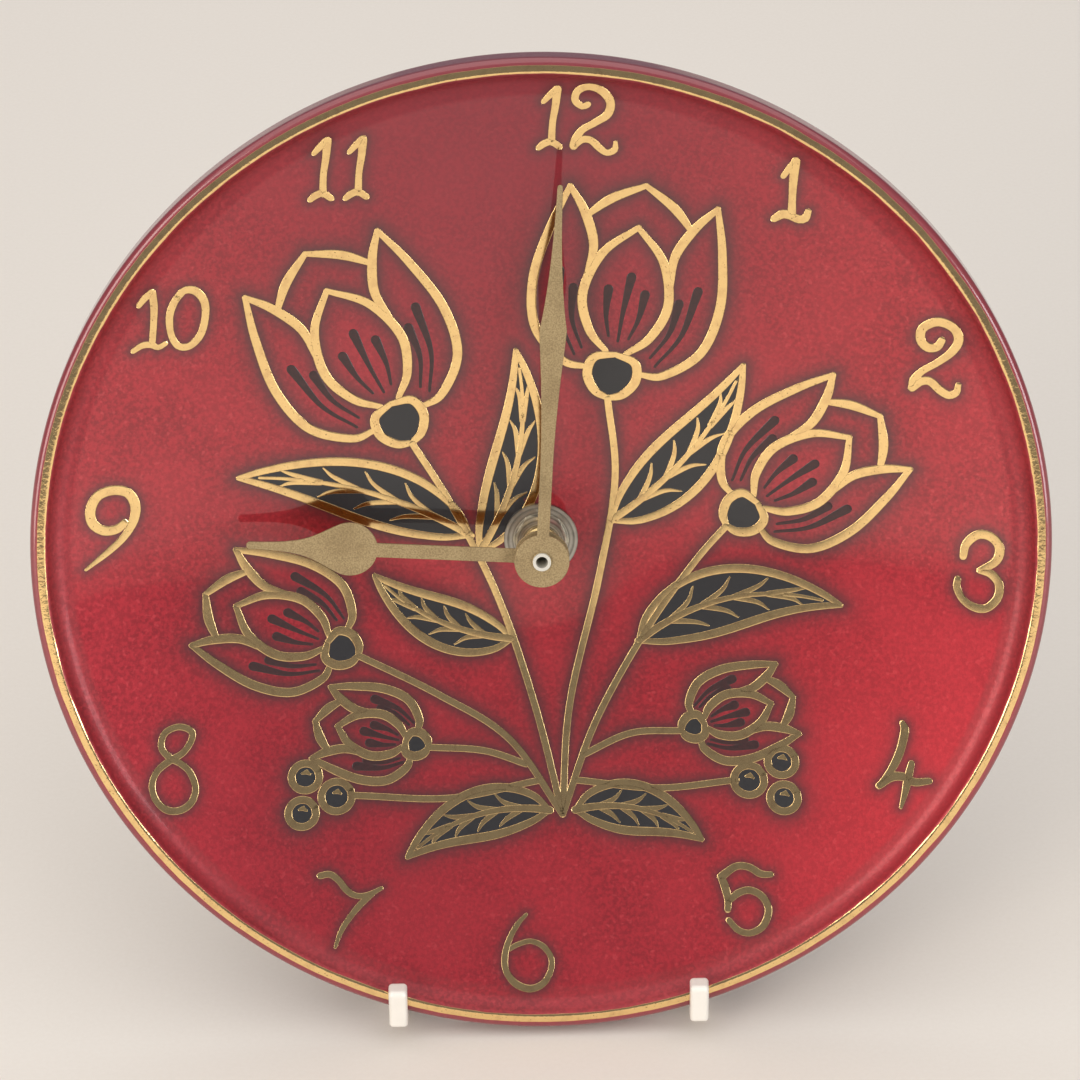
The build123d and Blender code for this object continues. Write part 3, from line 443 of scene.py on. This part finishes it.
hours = {
    (9.3, 99.9): one + (
        ((2.3, 3.6, 1.8), (1.1, 3.2, 1.8), (-0.4, 4.7, 2.0), (0.2, 6.9, 2.0), (2.7, 7.9, 2.0),
         (5.5, 6.8, 2.3), (7.3, 4.2, 2.3), (6.7, 1.3, 2.3), (3.9, -0.7, 2.0), (1.1, -2.4, 2.0),
         (-0.3, -4.5, 2.3), (-0.8, -6.1, 2.3)),
        ((-0.8, -6.1, 2.0), (1.1, -4.7, 2.0), (3.0, -4.9, 2.0), (4.8, -6.7, 2.0), (6.5, -7.9, 1.8),
         (8.2, -7.2, 1.8), (8.4, -5.5, 1.1)),
    ),
    (56.7, 82.7): (
        ((-2.1, 3.8, 1.6), (-0.8, 5.7, 1.8), (0.5, 7.3, 2.0)),
        ((0.5, 7.2, 2.5), (0.1, 3.1, 2.3), (-0.1, -1.2, 2.0), (-0.2, -5.6, 2.3)),
        ((-4.0, -6.4, 2.0), (-2.1, -5.3, 2.5), (-0.4, -5.7, 2.3), (1.4, -6.5, 2.3),
         (2.8, -6.2, 2.3), (3.4, -4.7, 1.8)),
    ),
    (88.5, 44.1): (
        ((1.4, 4.0, 2.0), (0.4, 2.4, 2.3), (-1.6, 2.2, 2.5), (-3.2, 4.0, 2.5), (-2.8, 6.8, 2.5),
         (0.5, 8.4, 2.5), (3.9, 7.1, 2.5), (5.1, 4.3, 2.5), (3.7, 1.4, 2.3), (0.7, -1.2, 2.0),
         (-2.8, -3.5, 2.0), (-4.6, -5.7, 2.3), (-4.9, -7.4, 2.0)),
        ((-4.9, -7.5, 2.3), (-3.0, -6.0, 2.3), (-1.0, -5.9, 2.3), (1.2, -7.9, 2.3),
         (3.2, -9.0, 2.3), (4.8, -8.3, 2.0), (5.2, -6.6, 1.6)),
    ),
    (99.2, -7.0): (
        ((-3.8, 3.8, 2.0), (-3.2, 6.7, 2.3), (-0.8, 9.0, 2.5), (1.9, 8.9, 2.5), (3.9, 7.1, 2.5),
         (4.2, 4.8, 2.5), (3.1, 2.6, 2.3), (-0.1, 0.6, 1.8)),
        ((-0.1, 0.6, 1.8), (2.4, -0.1, 2.3), (4.2, -2.4, 2.3), (3.9, -5.7, 2.3), (1.6, -8.2, 2.3),
         (-1.0, -8.3, 2.3), (-3.7, -6.6, 2.0), (-5.1, -3.8, 2.0), (-5.0, -1.7, 1.8)),
    ),
    (82.1, -53.6): (
        ((-0.1, 10.1, 1.6), (0.4, 8.5, 2.3), (-0.4, 4.4, 2.3), (-1.6, 1.1, 2.3), (-3.4, -2.2, 2.0),
         (-5.4, -4.9, 1.8)),
        ((-5.4, -4.8, 2.0), (-2.7, -2.7, 2.5), (0.2, -2.5, 2.3), (2.5, -3.6, 2.3),
         (5.9, -3.2, 1.8)),
        ((1.9, 0.7, 1.8), (1.1, -3.0, 2.3), (0.4, -6.3, 1.8), (-0.5, -9.7, 0.9)),
    ),
    (46.0, -86.0): (
        ((5.8, 6.0, 1.6), (3.5, 6.1, 2.0), (0.8, 7.6, 2.0), (-2.2, 7.7, 2.0), (-5.6, 5.3, 2.3)),
        ((-5.6, 5.3, 2.0), (-4.7, 2.7, 2.3), (-4.1, -0.1, 2.0), (-4.2, -2.3, 1.8)),
        ((-4.2, -0.5, 1.8), (-1.6, 1.6, 2.0), (1.2, 2.2, 2.0), (4.0, 0.6, 2.0), (5.2, -2.4, 2.0),
         (3.9, -5.9, 2.0), (1.1, -7.6, 1.8), (-1.7, -7.1, 1.8), (-4.0, -4.8, 1.6)),
    ),
    (-4.6, -97.5): (
        ((-0.2, 8.2, 0.9), (-2.2, 6.1, 1.4), (-4.1, 2.9, 1.6), (-5.3, -1.0, 1.8), (-5.1, -4.7, 1.8),
         (-2.9, -7.7, 2.0), (0.5, -8.9, 2.0), (3.6, -7.6, 1.8), (5.3, -4.5, 1.6), (5.3, -1.7, 1.6),
         (3.5, 0.8, 1.6), (0.7, 2.0, 1.4), (-2.1, 1.4, 1.4), (-4.4, 0.3, 1.4)),
    ),
    (-45.8, -85.5): (
        ((-6.4, 7.2, 1.8), (-4.2, 7.4, 1.8), (-2.2, 5.9, 1.8), (-0.4, 3.5, 1.8), (1.7, 2.1, 1.6),
         (4.4, 2.1, 1.6), (7.6, 3.5, 1.1)),
        ((5.4, 2.3, 1.6), (3.0, 0.3, 1.8), (0.2, -2.8, 1.6), (-2.0, -6.1, 1.4), (-3.3, -9.5, 0.9)),
    ),
    (-84.6, -51.1): (
        ((-1.0, 2.7, 2.0), (-2.9, 5.4, 1.8), (-2.1, 8.7, 1.8), (1.0, 10.0, 1.8), (3.8, 8.9, 1.8),
         (4.0, 6.9, 1.8), (2.0, 3.9, 1.8), (-1.3, 2.1, 2.0), (-4.1, -0.1, 1.8), (-5.3, -3.1, 1.8),
         (-4.6, -6.6, 1.8), (-2.2, -9.2, 2.0), (0.8, -9.6, 2.0), (3.4, -8.0, 2.0), (4.5, -4.8, 1.8),
         (3.4, -1.0, 1.8), (1.3, 1.3, 1.8), (-1.0, 2.7, 2.0)),
    ),
    (-96.7, 7.5): (
        ((2.9, 0.8, 2.0), (1.1, -0.6, 2.5), (-1.8, -0.7, 2.7), (-4.2, 1.3, 2.7), (-4.5, 4.5, 2.7),
         (-2.8, 7.6, 2.7), (0.6, 8.7, 2.7), (3.9, 7.8, 2.7), (5.4, 4.8, 2.7), (4.9, 1.2, 2.5),
         (2.6, -2.6, 2.0), (-1.1, -5.9, 1.8), (-6.1, -9.6, 0.9)),
    ),
    (-81.7, 55.8): (
        ((-6.7, 3.9, 1.4), (-5.2, 5.7, 1.8), (-3.7, 6.9, 2.0)),
        ((-3.6, 6.8, 2.0), (-3.4, 3.4, 2.0), (-3.7, -0.9, 1.8), (-4.2, -5.3, 1.8)),
        ((-8.4, -6.8, 1.4), (-6.4, -5.6, 1.8), (-4.4, -5.6, 1.8), (-2.9, -6.3, 1.6),
         (-1.3, -5.5, 1.4)),
        ((1.3, 4.6, 1.8), (3.3, 6.8, 2.0), (5.8, 6.6, 2.3), (7.6, 4.2, 2.2), (7.8, 0.6, 2.0),
         (6.6, -3.8, 2.0), (4.1, -6.4, 2.0), (1.6, -6.3, 2.0), (0.1, -3.6, 1.8), (-0.1, 0.8, 2.0),
         (1.2, 4.4, 2.0), (3.3, 6.7, 1.6)),
    ),
    (-42.9, 89.2): shifted(one, 1.6) + shifted(one, 9.4),
}
numeral_brush = Brush(height=0.09)
for (middle_x, middle_y), strokes in hours.items():
    for stroke in strokes:
        numeral_brush.stroke([(middle_x + x, middle_y + y, 0.9 * width) for x, y, width in stroke])
numeral_brush.piece("hour_numerals", gilding.material)


# Bouquet: tulips, lance leaves and berries painted across the dial, a plain country pattern.
# Leaves and berries are filled in black, each shape is outlined in thick gold, and a dark
# colour is sprayed along the outlines before the gold is laid.
bouquet_brush = Brush(height=0.08)
vein_brush = Brush(height=0.06)
dark_brush = Brush(height=0.03)
filled = []


def placed(points, base, lean, size):
    """Points of a motif drawn upright from (0, 0), set at a place, leaning left by lean degrees."""
    turned = radians(lean)
    across, along = size * cos(turned), size * sin(turned)
    return [(base[0] + x * across - y * along, base[1] + x * along + y * across) for x, y in points]


def brushed(points, thin_and_painted_glow, thick_and_top_darkening):
    """Points of a stroke that starts and ends thin and is thick between."""
    count = len(points) - 1
    return [
        (x, y, thin_and_painted_glow + (thick_and_top_darkening - thin_and_painted_glow) * sin(pi * number / count) ** 0.6)
        for number, (x, y) in enumerate(points)
    ]


side_petal = ((-0.13, 0.085), (-0.25, 0.10), (-0.41, 0.25), (-0.46, 0.50), (-0.42, 0.78), (-0.36, 1.0))
side_fold = ((-0.36, 1.0), (-0.27, 0.88), (-0.20, 0.72), (-0.205, 0.56))
front_petal = ((-0.05, 0.18), (-0.15, 0.28), (-0.21, 0.46), (-0.15, 0.68), (0.0, 0.84))
back_petal = ((-0.26, 0.86), (-0.15, 0.97), (0.0, 1.06))
calyx = ((0.0, -0.06), (-0.07, -0.03), (-0.12, 0.05), (-0.10, 0.14), (0.0, 0.17))
petal_lines = (
    ((0.0, 0.24), (0.0, 0.40), (0.01, 0.58)),
    ((0.05, 0.26), (0.08, 0.37), (0.09, 0.50)),
    ((-0.05, 0.26), (-0.08, 0.37), (-0.09, 0.50)),
    ((-0.20, 0.14), (-0.30, 0.32), (-0.34, 0.56)),
    ((-0.17, 0.18), (-0.24, 0.32), (-0.26, 0.48)),
    ((0.20, 0.14), (0.30, 0.32), (0.34, 0.56)),
    ((0.17, 0.18), (0.24, 0.32), (0.26, 0.48)),
)


def mirrored(points):
    """The other half of a motif."""
    return tuple((-x, y) for x, y in points)


def tulip(base, lean, size):
    """A tulip head: two side petals, one in front, the tips of one behind and a black calyx."""
    for shape in (side_petal, side_fold, front_petal, back_petal, calyx):
        for half in (shape, mirrored(shape)):
            bouquet_brush.stroke(brushed(placed(half, base, lean, size), 1.4, 2.3))
    filled.append(np.array(placed(calyx + mirrored(calyx)[-2:0:-1], base, lean, size)))
    for line in petal_lines:
        points = placed(line, base, lean, size)
        dark_brush.stroke([(x, y, width) for (x, y), width in zip(points, (0.7, 1.2, 2.3))])


def leaf(base, tip, bow, width):
    """A lance leaf filled in black, with a gold outline, rib and veins."""
    base, tip = np.array(base, float), np.array(tip, float)
    run = tip - base
    side = np.array((-run[1], run[0]))
    share = np.linspace(0, 1, 13)
    rib = base + np.outer(share, run) + np.outer(4 * bow * share * (1 - share), side)
    way = np.gradient(rib, axis=0)
    way /= np.hypot(way[:, 0], way[:, 1])[:, None]
    out = np.stack((-way[:, 1], way[:, 0]), axis=1)
    half = (width / 2 * np.sin(pi * share**0.85) ** 0.9 * (1 - 0.35 * share))[:, None]
    left, right = rib + out * half, rib - out * half
    filled.append(np.vstack((left, right[::-1])))
    for edge in (left, right):
        bouquet_brush.stroke(brushed(edge.tolist(), 1.3, 2.2))
    bouquet_brush.stroke([(*point, 2.0 - 1.4 * along) for point, along in zip(rib[:-1], share)])
    for number in range(2, 10, 2):
        for edge in (left, right):
            root, end = rib[number], 0.3 * rib[number + 2] + 0.7 * edge[number + 2]
            vein_brush.stroke([(*root, 1.5), (*(0.5 * (root + end) + 0.03 * run), 1.1), (*end, 0.4)])


def berry(x, y, radius):
    """A black berry in a gold ring, with a fleck of gold on it."""
    ring = [(x + radius * cos(turn), y + radius * sin(turn)) for turn in np.linspace(0.4, 0.4 + 2 * pi, 11)]
    filled.append(np.array(ring))
    bouquet_brush.stroke([(*point, 1.9) for point in ring])
    vein_brush.stroke([(x - 0.6, y + 0.9, 0.7), (x + 0.3, y + 1.2, 1.3), (x + 1.0, y + 0.6, 0.6)])


knot = (4.0, -66.0)
stems = (
    (knot, (-2.0, -40.0), (-10.0, -14.0), (-20.0, 8.0), (-28.8, 23.5)),
    (knot, (6.0, -40.0), (13.0, -10.0), (17.0, 14.0), (15.5, 33.3)),
    (knot, (12.0, -44.0), (24.0, -22.0), (35.0, -6.0), (42.2, 2.6)),
    (knot, (-8.0, -48.0), (-24.0, -37.0), (-42.2, -26.9)),
    ((9.0, -52.0), (20.0, -47.0), (31.6, -46.4)),
    ((-4.3, -54.0), (-14.0, -50.6), (-26.6, -49.4)),
    ((7.0, -58.0), (26.0, -60.0), (44.0, -58.0)),
    ((-1.5, -58.0), (-22.0, -61.6), (-44.0, -60.0)),
)
for stem in stems:
    bouquet_brush.stroke([(x, y, 1.7) for x, y in stem])
for base, lean, size in (
    ((-30.0, 26.0), 26, 46),
    ((16.0, 36.0), -10, 46),
    ((44.0, 4.0), -52, 39),
    ((-44.0, -26.0), 64, 34),
    ((33.0, -46.0), -72, 24),
    ((-28.0, -49.0), 74, 24),
):
    tulip(base, lean, size)
for base, tip, bow, width in (
    ((-16.0, 1.0), (-68.0, 17.0), -0.07, 16),
    ((16.0, 4.0), (46.0, 41.0), -0.08, 16),
    ((-14.0, -3.0), (-5.0, 45.0), -0.10, 13),
    ((22.0, -25.0), (68.0, -16.0), 0.13, 17),
    ((-7.0, -24.0), (-38.0, -8.0), 0.10, 13),
    ((1.0, -65.0), (-32.0, -75.0), -0.12, 13),
    ((7.0, -65.0), (36.0, -72.0), 0.12, 13),
):
    leaf(base, tip, bow, width)
for x, y, radius in (
    (47.0, -58.0, 3.5), (54.5, -53.5, 3.2), (55.0, -62.0, 3.2),
    (-48.0, -60.0, 3.5), (-55.0, -55.0, 3.2), (-56.0, -63.5, 3.2),
):
    berry(x, y, radius)

bouquet_brush.piece("bouquet_outlines", gilding.material)
vein_brush.piece("bouquet_veins", gilding.material)
black_paint = Finish("black_paint")
soot = black_paint.grain(1.0, 2)
black_paint.surface(
    Base_Color=black_paint.mix(tint(0.012, 0.006, 0.006), tint(0.05, 0.012, 0.012), soot),
    Roughness=0.25 + 0.15 * black_paint.grain(0.6, 2),
    Coat_Weight=0.3,
)
dark_brush.piece("petal_strokes", black_paint.material)

front_count = lip_ring * spokes
front_places = dish_points[:front_count, :2]


def inside(outline, places):
    """Which places lie inside a closed outline."""
    within = np.zeros(len(places), bool)
    for (ax, ay), (bx, by) in zip(outline, np.roll(outline, -1, axis=0)):
        crosses = (ay > places[:, 1]) != (by > places[:, 1])
        reach = ax + (places[:, 1] - ay) * (bx - ax) / (by - ay if by != ay else 1e-9)
        within ^= crosses & (places[:, 0] < reach)
    return within


ink_values = np.zeros(len(dish_points))
for outline in filled:
    ink_values[:front_count] += inside(smooth(np.vstack((outline, outline[:1]))), front_places)
carry(dish, "ink", np.clip(ink_values, 0, 1))

bouquet_gap = np.clip(bouquet_brush.nearest(front_places), 0, None)
numeral_gap = np.clip(numeral_brush.nearest(front_places), 0, None)
shade_values = np.zeros(len(dish_points))
shade_values[:front_count] = np.maximum(
    0.86 * np.exp(-((bouquet_gap / 2.4) ** 1.2)),
    0.78 * np.exp(-((numeral_gap / 1.5) ** 1.2)),
)
carry(dish, "shade", shade_values)


# Fixing: a steel washer and a thin hexagon nut on the movement's threaded brass bush clamp the
# dish against a rubber gasket and a pressed steel hanger. The steel is oiled dark, with turned rings.
def dress(finish, *nodes):
    """Gives CAD pieces their finish."""
    for node in nodes:
        shown = frame["nodes"][node].data
        shown.materials.clear()
        shown.materials.append(finish)


def turned_metal(name, colour, dull, roughness, pitch):
    """Bare metal with the fine rings of a lathe round the hands' axis."""
    metal = Finish(name)
    sockets = {"W": metal.from_spindle() / pitch, "Scale": 1.0}
    ring = metal.add("TexNoise", {"noise_dimensions": "1D"}, sockets, "Fac")
    stain = metal.ramp(metal.grain(2.5, 3), 0.40, 0.70)
    metal.surface(
        Base_Color=metal.mix(colour, dull, 0.3 * stain + 0.7 * metal.ramp(ring, 0.42, 0.58)),
        Metallic=1.0,
        Roughness=roughness + 0.16 * ring + 0.12 * stain,
        Normal=metal.bump(ring, 0.02, 0.5),
    )
    return metal.material


dark_steel = turned_metal("dark_steel", tint(0.56, 0.52, 0.44), tint(0.20, 0.18, 0.145), 0.24, 0.55)
brass = turned_metal("brass", tint(0.80, 0.60, 0.28), tint(0.52, 0.36, 0.15), 0.20, 0.22)
dress(dark_steel, "front_washer", "fixing_nut")
dress(brass, "threaded_bush")


def moulded(name, colour, worn, roughness, grain_size, depth, sheen=0.0):
    """Moulded plastic or rubber, with the fine texture of its mould."""
    stuff = Finish(name)
    texture = stuff.grain(grain_size, 2)
    patch = stuff.ramp(stuff.grain(9, 3), 0.40, 0.70)
    stuff.surface(
        Base_Color=stuff.mix(colour, worn, 0.6 * patch + 0.25 * texture),
        Roughness=roughness + 0.14 * (texture - 0.5) + 0.06 * patch,
        Normal=stuff.bump(texture, depth, 0.5),
        Coat_Weight=sheen,
    )
    return stuff.material


def plated(name, colour, dull, roughness):
    """Rolled or plated metal, with faint streaks along the strip."""
    metal = Finish(name)
    streak = metal.grain(0.9, 3, (1.0, 0.12, 0.12))
    bloom = metal.ramp(metal.grain(5, 3), 0.42, 0.72)
    metal.surface(
        Base_Color=metal.mix(colour, dull, 0.7 * bloom + 0.2 * streak),
        Metallic=1.0,
        Roughness=roughness + 0.18 * streak + 0.1 * bloom,
        Normal=metal.bump(streak, 0.015, 0.4),
    )
    return metal.material


black_rubber = moulded("black_rubber", tint(0.018, 0.018, 0.019), tint(0.05, 0.05, 0.052), 0.72, 0.5, 0.03)
plated_steel = plated("plated_steel", tint(0.62, 0.63, 0.64), tint(0.40, 0.41, 0.42), 0.24)
dress(black_rubber, "rubber_gasket")
dress(plated_steel, "hanger")


# Movement: a quartz movement in a snap-together case of black moulded plastic behind the dish.
# Inside are a geared train of pale moulded wheels, a stepping motor and a circuit board.
case_plastic = moulded(
    "case_plastic", tint(0.016, 0.016, 0.017), tint(0.035, 0.035, 0.037), 0.42, 0.28, 0.02
)
natural_plastic = moulded(
    "natural_plastic", tint(0.60, 0.57, 0.50), tint(0.52, 0.49, 0.41), 0.38, 0.4, 0.01, 0.2
)
dress(case_plastic, "movement_case", "movement_cover", "setting_knob")
dress(
    natural_plastic,
    "train_bridge", "coil_bobbin", "cannon_pinion", "hour_wheel", "motion_wheel", "setting_pinion",
    "seconds_wheel", "third_wheel", "intermediate_wheel", "rotor_pinion",
)
dress(brass, "centre_wheel")
dress(plated_steel, "bridge_screws", "quartz_crystal")
contact_spring = plated("contact_spring", tint(0.74, 0.64, 0.46), tint(0.52, 0.42, 0.28), 0.22)
core_iron = plated("core_iron", tint(0.42, 0.42, 0.43), tint(0.26, 0.26, 0.27), 0.32)
magnet = plated("magnet", tint(0.30, 0.30, 0.31), tint(0.16, 0.16, 0.17), 0.34)
board_laminate = moulded(
    "board_laminate", tint(0.03, 0.16, 0.07), tint(0.05, 0.22, 0.10), 0.34, 0.5, 0.01, 0.4
)
black_resin = moulded(
    "black_resin", tint(0.010, 0.010, 0.011), tint(0.022, 0.022, 0.024), 0.26, 1.2, 0.05
)
copper_wire = plated("copper_wire", tint(0.78, 0.36, 0.18), tint(0.50, 0.20, 0.09), 0.26)
dress(contact_spring, "positive_contact", "negative_contact", "clutch_spring")
dress(core_iron, "stator", "coil_core")
dress(magnet, "rotor_magnet")
dress(board_laminate, "circuit_board")
dress(black_resin, "driver_chip")
dress(copper_wire, "coil_winding")


# Battery: a round cell in a printed sleeve with a bright steel cap at its nub, lying in the open
# bay behind the movement. Its sleeve is plain, black with a copper band at the nub end.
dial_roll = radians(3.5)
clock_across = dial_across * cos(dial_roll) - dial_up * sin(dial_roll)
battery_nub_end = -26.24
copper_band = 15.0
steel_cap = 2.2
sleeve = Finish("battery_sleeve")
sockets = {0: sleeve.place(), 1: tuple(clock_across)}
along = sleeve.add("VectorMath", {"operation": "DOT_PRODUCT"}, sockets, "Value")
from_nub = along * 1000 - (1000 * float(dial_middle @ clock_across) + battery_nub_end)
band = 1 - sleeve.ramp(from_nub, copper_band, copper_band + 0.2)
cap = 1 - sleeve.ramp(from_nub, steel_cap, steel_cap + 0.1)
scuff = sleeve.ramp(sleeve.grain(1.4, 3), 0.52, 0.75)
print_colour = sleeve.mix(tint(0.020, 0.020, 0.022), tint(0.62, 0.28, 0.12), band)
print_colour = sleeve.mix(print_colour, tint(0.16, 0.15, 0.14), 0.35 * scuff)
sleeve.surface(
    Base_Color=sleeve.mix(print_colour, tint(0.66, 0.66, 0.66), cap),
    Metallic=0.55 * band * (1 - cap) + cap,
    Roughness=0.26 + 0.18 * scuff,
)
dress(sleeve.material, "battery")


# Hands: spade hands stamped from thin brass sheet, with rounded edges, gilt and blasted matt.
# Each sits on a turned brass collet pushed on its tube, the minute hand in front.
hand_thickness = 0.53
hand_rounding = 0.11
hub_radius = 6.2
dress(brass, "hour_collet", "minute_collet")

gilt_hand = Finish("gilt_hand")
blast = gilt_hand.ramp(gilt_hand.grain(0.32, 2), 0.30, 0.70)
tarnish = gilt_hand.ramp(gilt_hand.grain(6, 3), 0.40, 0.72)
gilt_hand.surface(
    Base_Color=gilt_hand.mix(
        gilt_hand.mix(tint(0.385, 0.286, 0.146), tint(0.32, 0.232, 0.116), tarnish),
        tint(0.18, 0.122, 0.058),
        0.55 * blast,
    ),
    Metallic=0.55,
    Roughness=0.52 + 0.16 * blast,
    Normal=gilt_hand.bump(blast, 0.03, 0.6),
)


def bezier(points, steps=18):
    """Points along a curve with four control points."""
    a, b, c, d = np.array(points, float)
    return [
        tuple((1 - t) ** 3 * a + 3 * (1 - t) ** 2 * t * b + 3 * (1 - t) * t**2 * c + t**3 * d)
        for t in np.linspace(0, 1, steps)
    ]


def hand(node, half, stem_width, bore, height, pointing, body):
    """A stamped hand from its right half's outline, round its hub and bored for its collet."""
    joined = sqrt(hub_radius**2 - (stem_width / 2) ** 2)
    start = atan2(joined, stem_width / 2)
    hub = [(hub_radius * cos(turn), hub_radius * sin(turn)) for turn in np.linspace(-pi / 2, start, 40)]
    right = hub + [point for point in half if point[1] > joined]
    outline = right + [(-x, y) for x, y in reversed(right) if x > 1e-6]
    hole = [(bore * cos(turn), bore * sin(turn)) for turn in np.linspace(0, 2 * pi, 48, endpoint=False)]
    stamping = bpy.data.curves.new(node + "_stamping", "CURVE")
    stamping.dimensions = "2D"
    stamping.fill_mode = "BOTH"
    stamping.extrude = hand_thickness / 2 - hand_rounding
    stamping.bevel_depth = hand_rounding
    stamping.bevel_resolution = 2
    stamping.offset = -hand_rounding
    for loop in (outline, hole):
        spline = stamping.splines.new("POLY")
        spline.points.add(len(loop) - 1)
        for point, (x, y) in zip(spline.points, loop):
            point.co = (x, y, 0, 1)
        spline.use_cyclic_u = True
    blank = bpy.data.objects.new(node + "_blank", stamping)
    bpy.context.scene.collection.objects.link(blank)
    bpy.context.view_layer.update()
    made_mesh = bpy.data.meshes.new_from_object(blank.evaluated_get(bpy.context.evaluated_depsgraph_get()))
    bpy.data.objects.remove(blank)
    across = np.cross(pointing, dial_normal)
    seat = dial_middle + mm * (height + hand_thickness / 2) * dial_normal
    lie = Matrix(np.vstack((
        np.column_stack((across * mm, pointing * mm, dial_normal * mm, seat)), (0, 0, 0, 1),
    )).tolist())
    made_mesh.transform(lie)
    made_mesh.materials.clear()
    made_mesh.materials.append(gilt_hand.material)
    made = bpy.data.objects.new("gilt_" + node, made_mesh)
    bpy.context.scene.collection.objects.link(made)
    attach(made, body)
    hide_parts(node)


hour_bore = 2.9
hour_height = 12.8
hour_length = 66.5
hour_stem = 3.3
hour_tip = 1.7
bulb_place = 43.2
bulb_radius = 6.25
taper_start = radians(25)
bulb_start = -atan2(sqrt(bulb_radius**2 - (hour_stem / 2) ** 2), hour_stem / 2)
bulb = [
    (bulb_radius * cos(turn), bulb_place + bulb_radius * sin(turn))
    for turn in np.linspace(bulb_start, taper_start, 24)
]
shoulder = bulb[-1]
rise = (bulb_radius * cos(taper_start), bulb_radius * sin(taper_start))
spade = bezier((
    shoulder,
    (shoulder[0] - rise[1], shoulder[1] + rise[0]),
    (hour_tip / 2, shoulder[1] + bulb_radius),
    (hour_tip / 2, hour_length - hour_tip / 2),
))


def tip_round(width, length):
    """The rounded end of a hand, to its middle line."""
    return [
        (width / 2 * cos(turn), length - width / 2 + width / 2 * sin(turn))
        for turn in np.linspace(0.2, pi / 2, 7)
    ]


hour_half = [(hour_stem / 2, hub_radius + 1.0)] + bulb + spade[1:] + tip_round(hour_tip, hour_length)
hand("hour_hand", hour_half, hour_stem, hour_bore, hour_height, -clock_across, "hour")

minute_bore = 2.12
minute_height = 16.0
minute_length = 87.1
minute_stem = 2.8
minute_tip = 1.2
swell_start = 20.0
blade_place = 54.0
blade_width = 6.1
minute_half = [(minute_stem / 2, hub_radius + 1.0)] + bezier((
    (minute_stem / 2, swell_start),
    (minute_stem / 2, (swell_start + blade_place) / 2),
    (blade_width * 0.475, blade_place - blade_width * 2 / 3),
    (blade_width / 2, blade_place),
))
minute_half += bezier((
    (blade_width / 2, blade_place),
    (blade_width * 0.36, blade_place + blade_width * 3 / 4),
    (minute_tip * 3 / 4, blade_place + blade_width * 2.3),
    (minute_tip / 2, minute_length - minute_tip / 2),
))[1:]
minute_half += tip_round(minute_tip, minute_length)
clock_up = dial_across * sin(dial_roll) + dial_up * cos(dial_roll)
hand("minute_hand", minute_half, minute_stem, minute_bore, minute_height, clock_up, "minute")


# Stand: a small knock-down plate stand of white moulded plastic. Two side frames with upturned
# hooks carry the dish's edge, and two bars snap between them.
white_plastic = moulded(
    "white_plastic", tint(0.80, 0.76, 0.69), tint(0.72, 0.68, 0.61), 0.36, 0.6, 0.015, 0.3
)
dress(white_plastic, "stand_left_frame", "stand_right_frame", "stand_rear_bar", "stand_top_bar")


# Table: a wide sheet of cream paper under the clock, two soft lamps in front and one above,
# in a grey room. The camera looks down on the leaning dial from a little above its axis.
paper = Finish("cream_paper")
fibre = paper.grain(1.1, 3)
paper.surface(
    Base_Color=paper.mix(tint(0.75, 0.69, 0.615), tint(0.79, 0.735, 0.665), fibre),
    Roughness=0.9,
)
paper_size = ((-3.0, -2.2), (3.0, 3.0))
(left, front), (right, rear) = paper_size
sheet = bpy.data.meshes.new("table_paper")
paper_corners = [(left, front, 0), (right, front, 0), (right, rear, 0), (left, rear, 0)]
sheet.from_pydata(paper_corners, [], [(0, 1, 2, 3)])
sheet.materials.append(paper.material)
table = bpy.data.objects.new("table_paper", sheet)
bpy.context.scene.collection.objects.link(table)

room = bpy.data.worlds.new("grey_room")
room.use_nodes = True
room.node_tree.nodes["Background"].inputs["Color"].default_value = tint(0.21, 0.215, 0.25)
bpy.context.scene.world = room


def soft_lamp(name, place, aim, width, height, power, colour):
    """A flat soft lamp aimed at a place."""
    light = bpy.data.lights.new(name, "AREA")
    light.shape = "RECTANGLE"
    light.size = width
    light.size_y = height
    light.energy = power
    light.color = colour
    lamp = bpy.data.objects.new(name, light)
    lamp.location = place
    lamp.rotation_euler = (Vector(aim) - Vector(place)).to_track_quat("-Z", "Y").to_euler()
    bpy.context.scene.collection.objects.link(lamp)


clock_middle = (0, 0, 0.11)
soft_lamp("ceiling_lamp", (0, -0.2, 2.6), clock_middle, 5.0, 5.0, 101, (1.0, 0.985, 0.955))
soft_lamp("left_lamp", (-1.05, -1.40, 0.5), clock_middle, 0.8, 1.2, 18, (1.0, 0.94, 0.86))
soft_lamp("right_lamp", (0.95, -1.2, 0.27), clock_middle, 0.6, 0.5, 8, (0.94, 0.98, 1.0))

viewer = bpy.data.cameras.new("camera")
viewer.lens = 170.131
viewer.sensor_width = 36
viewer.clip_end = 20
camera = bpy.data.objects.new("camera", viewer)
camera_distance = 1.15
elevation, azimuth, roll = radians(33.4518), radians(-0.5337), radians(-0.751)
outward = np.array((sin(azimuth) * cos(elevation), -cos(azimuth) * cos(elevation), sin(elevation)))
level = np.array((cos(azimuth), sin(azimuth), 0.0))
upright = np.cross(outward, level)
target = dial_middle + mm * (12 * dial_normal - 0.326 * level + 3.4015 * upright)
side = cos(roll) * level + sin(roll) * upright
head = cos(roll) * upright - sin(roll) * level
stance = np.column_stack((side, head, outward, target + camera_distance * outward))
camera.matrix_world = Matrix(np.vstack((stance, (0, 0, 0, 1))).tolist())
bpy.context.scene.collection.objects.link(camera)
bpy.context.scene.camera = camera
bpy.context.scene.view_settings.view_transform = "Standard"
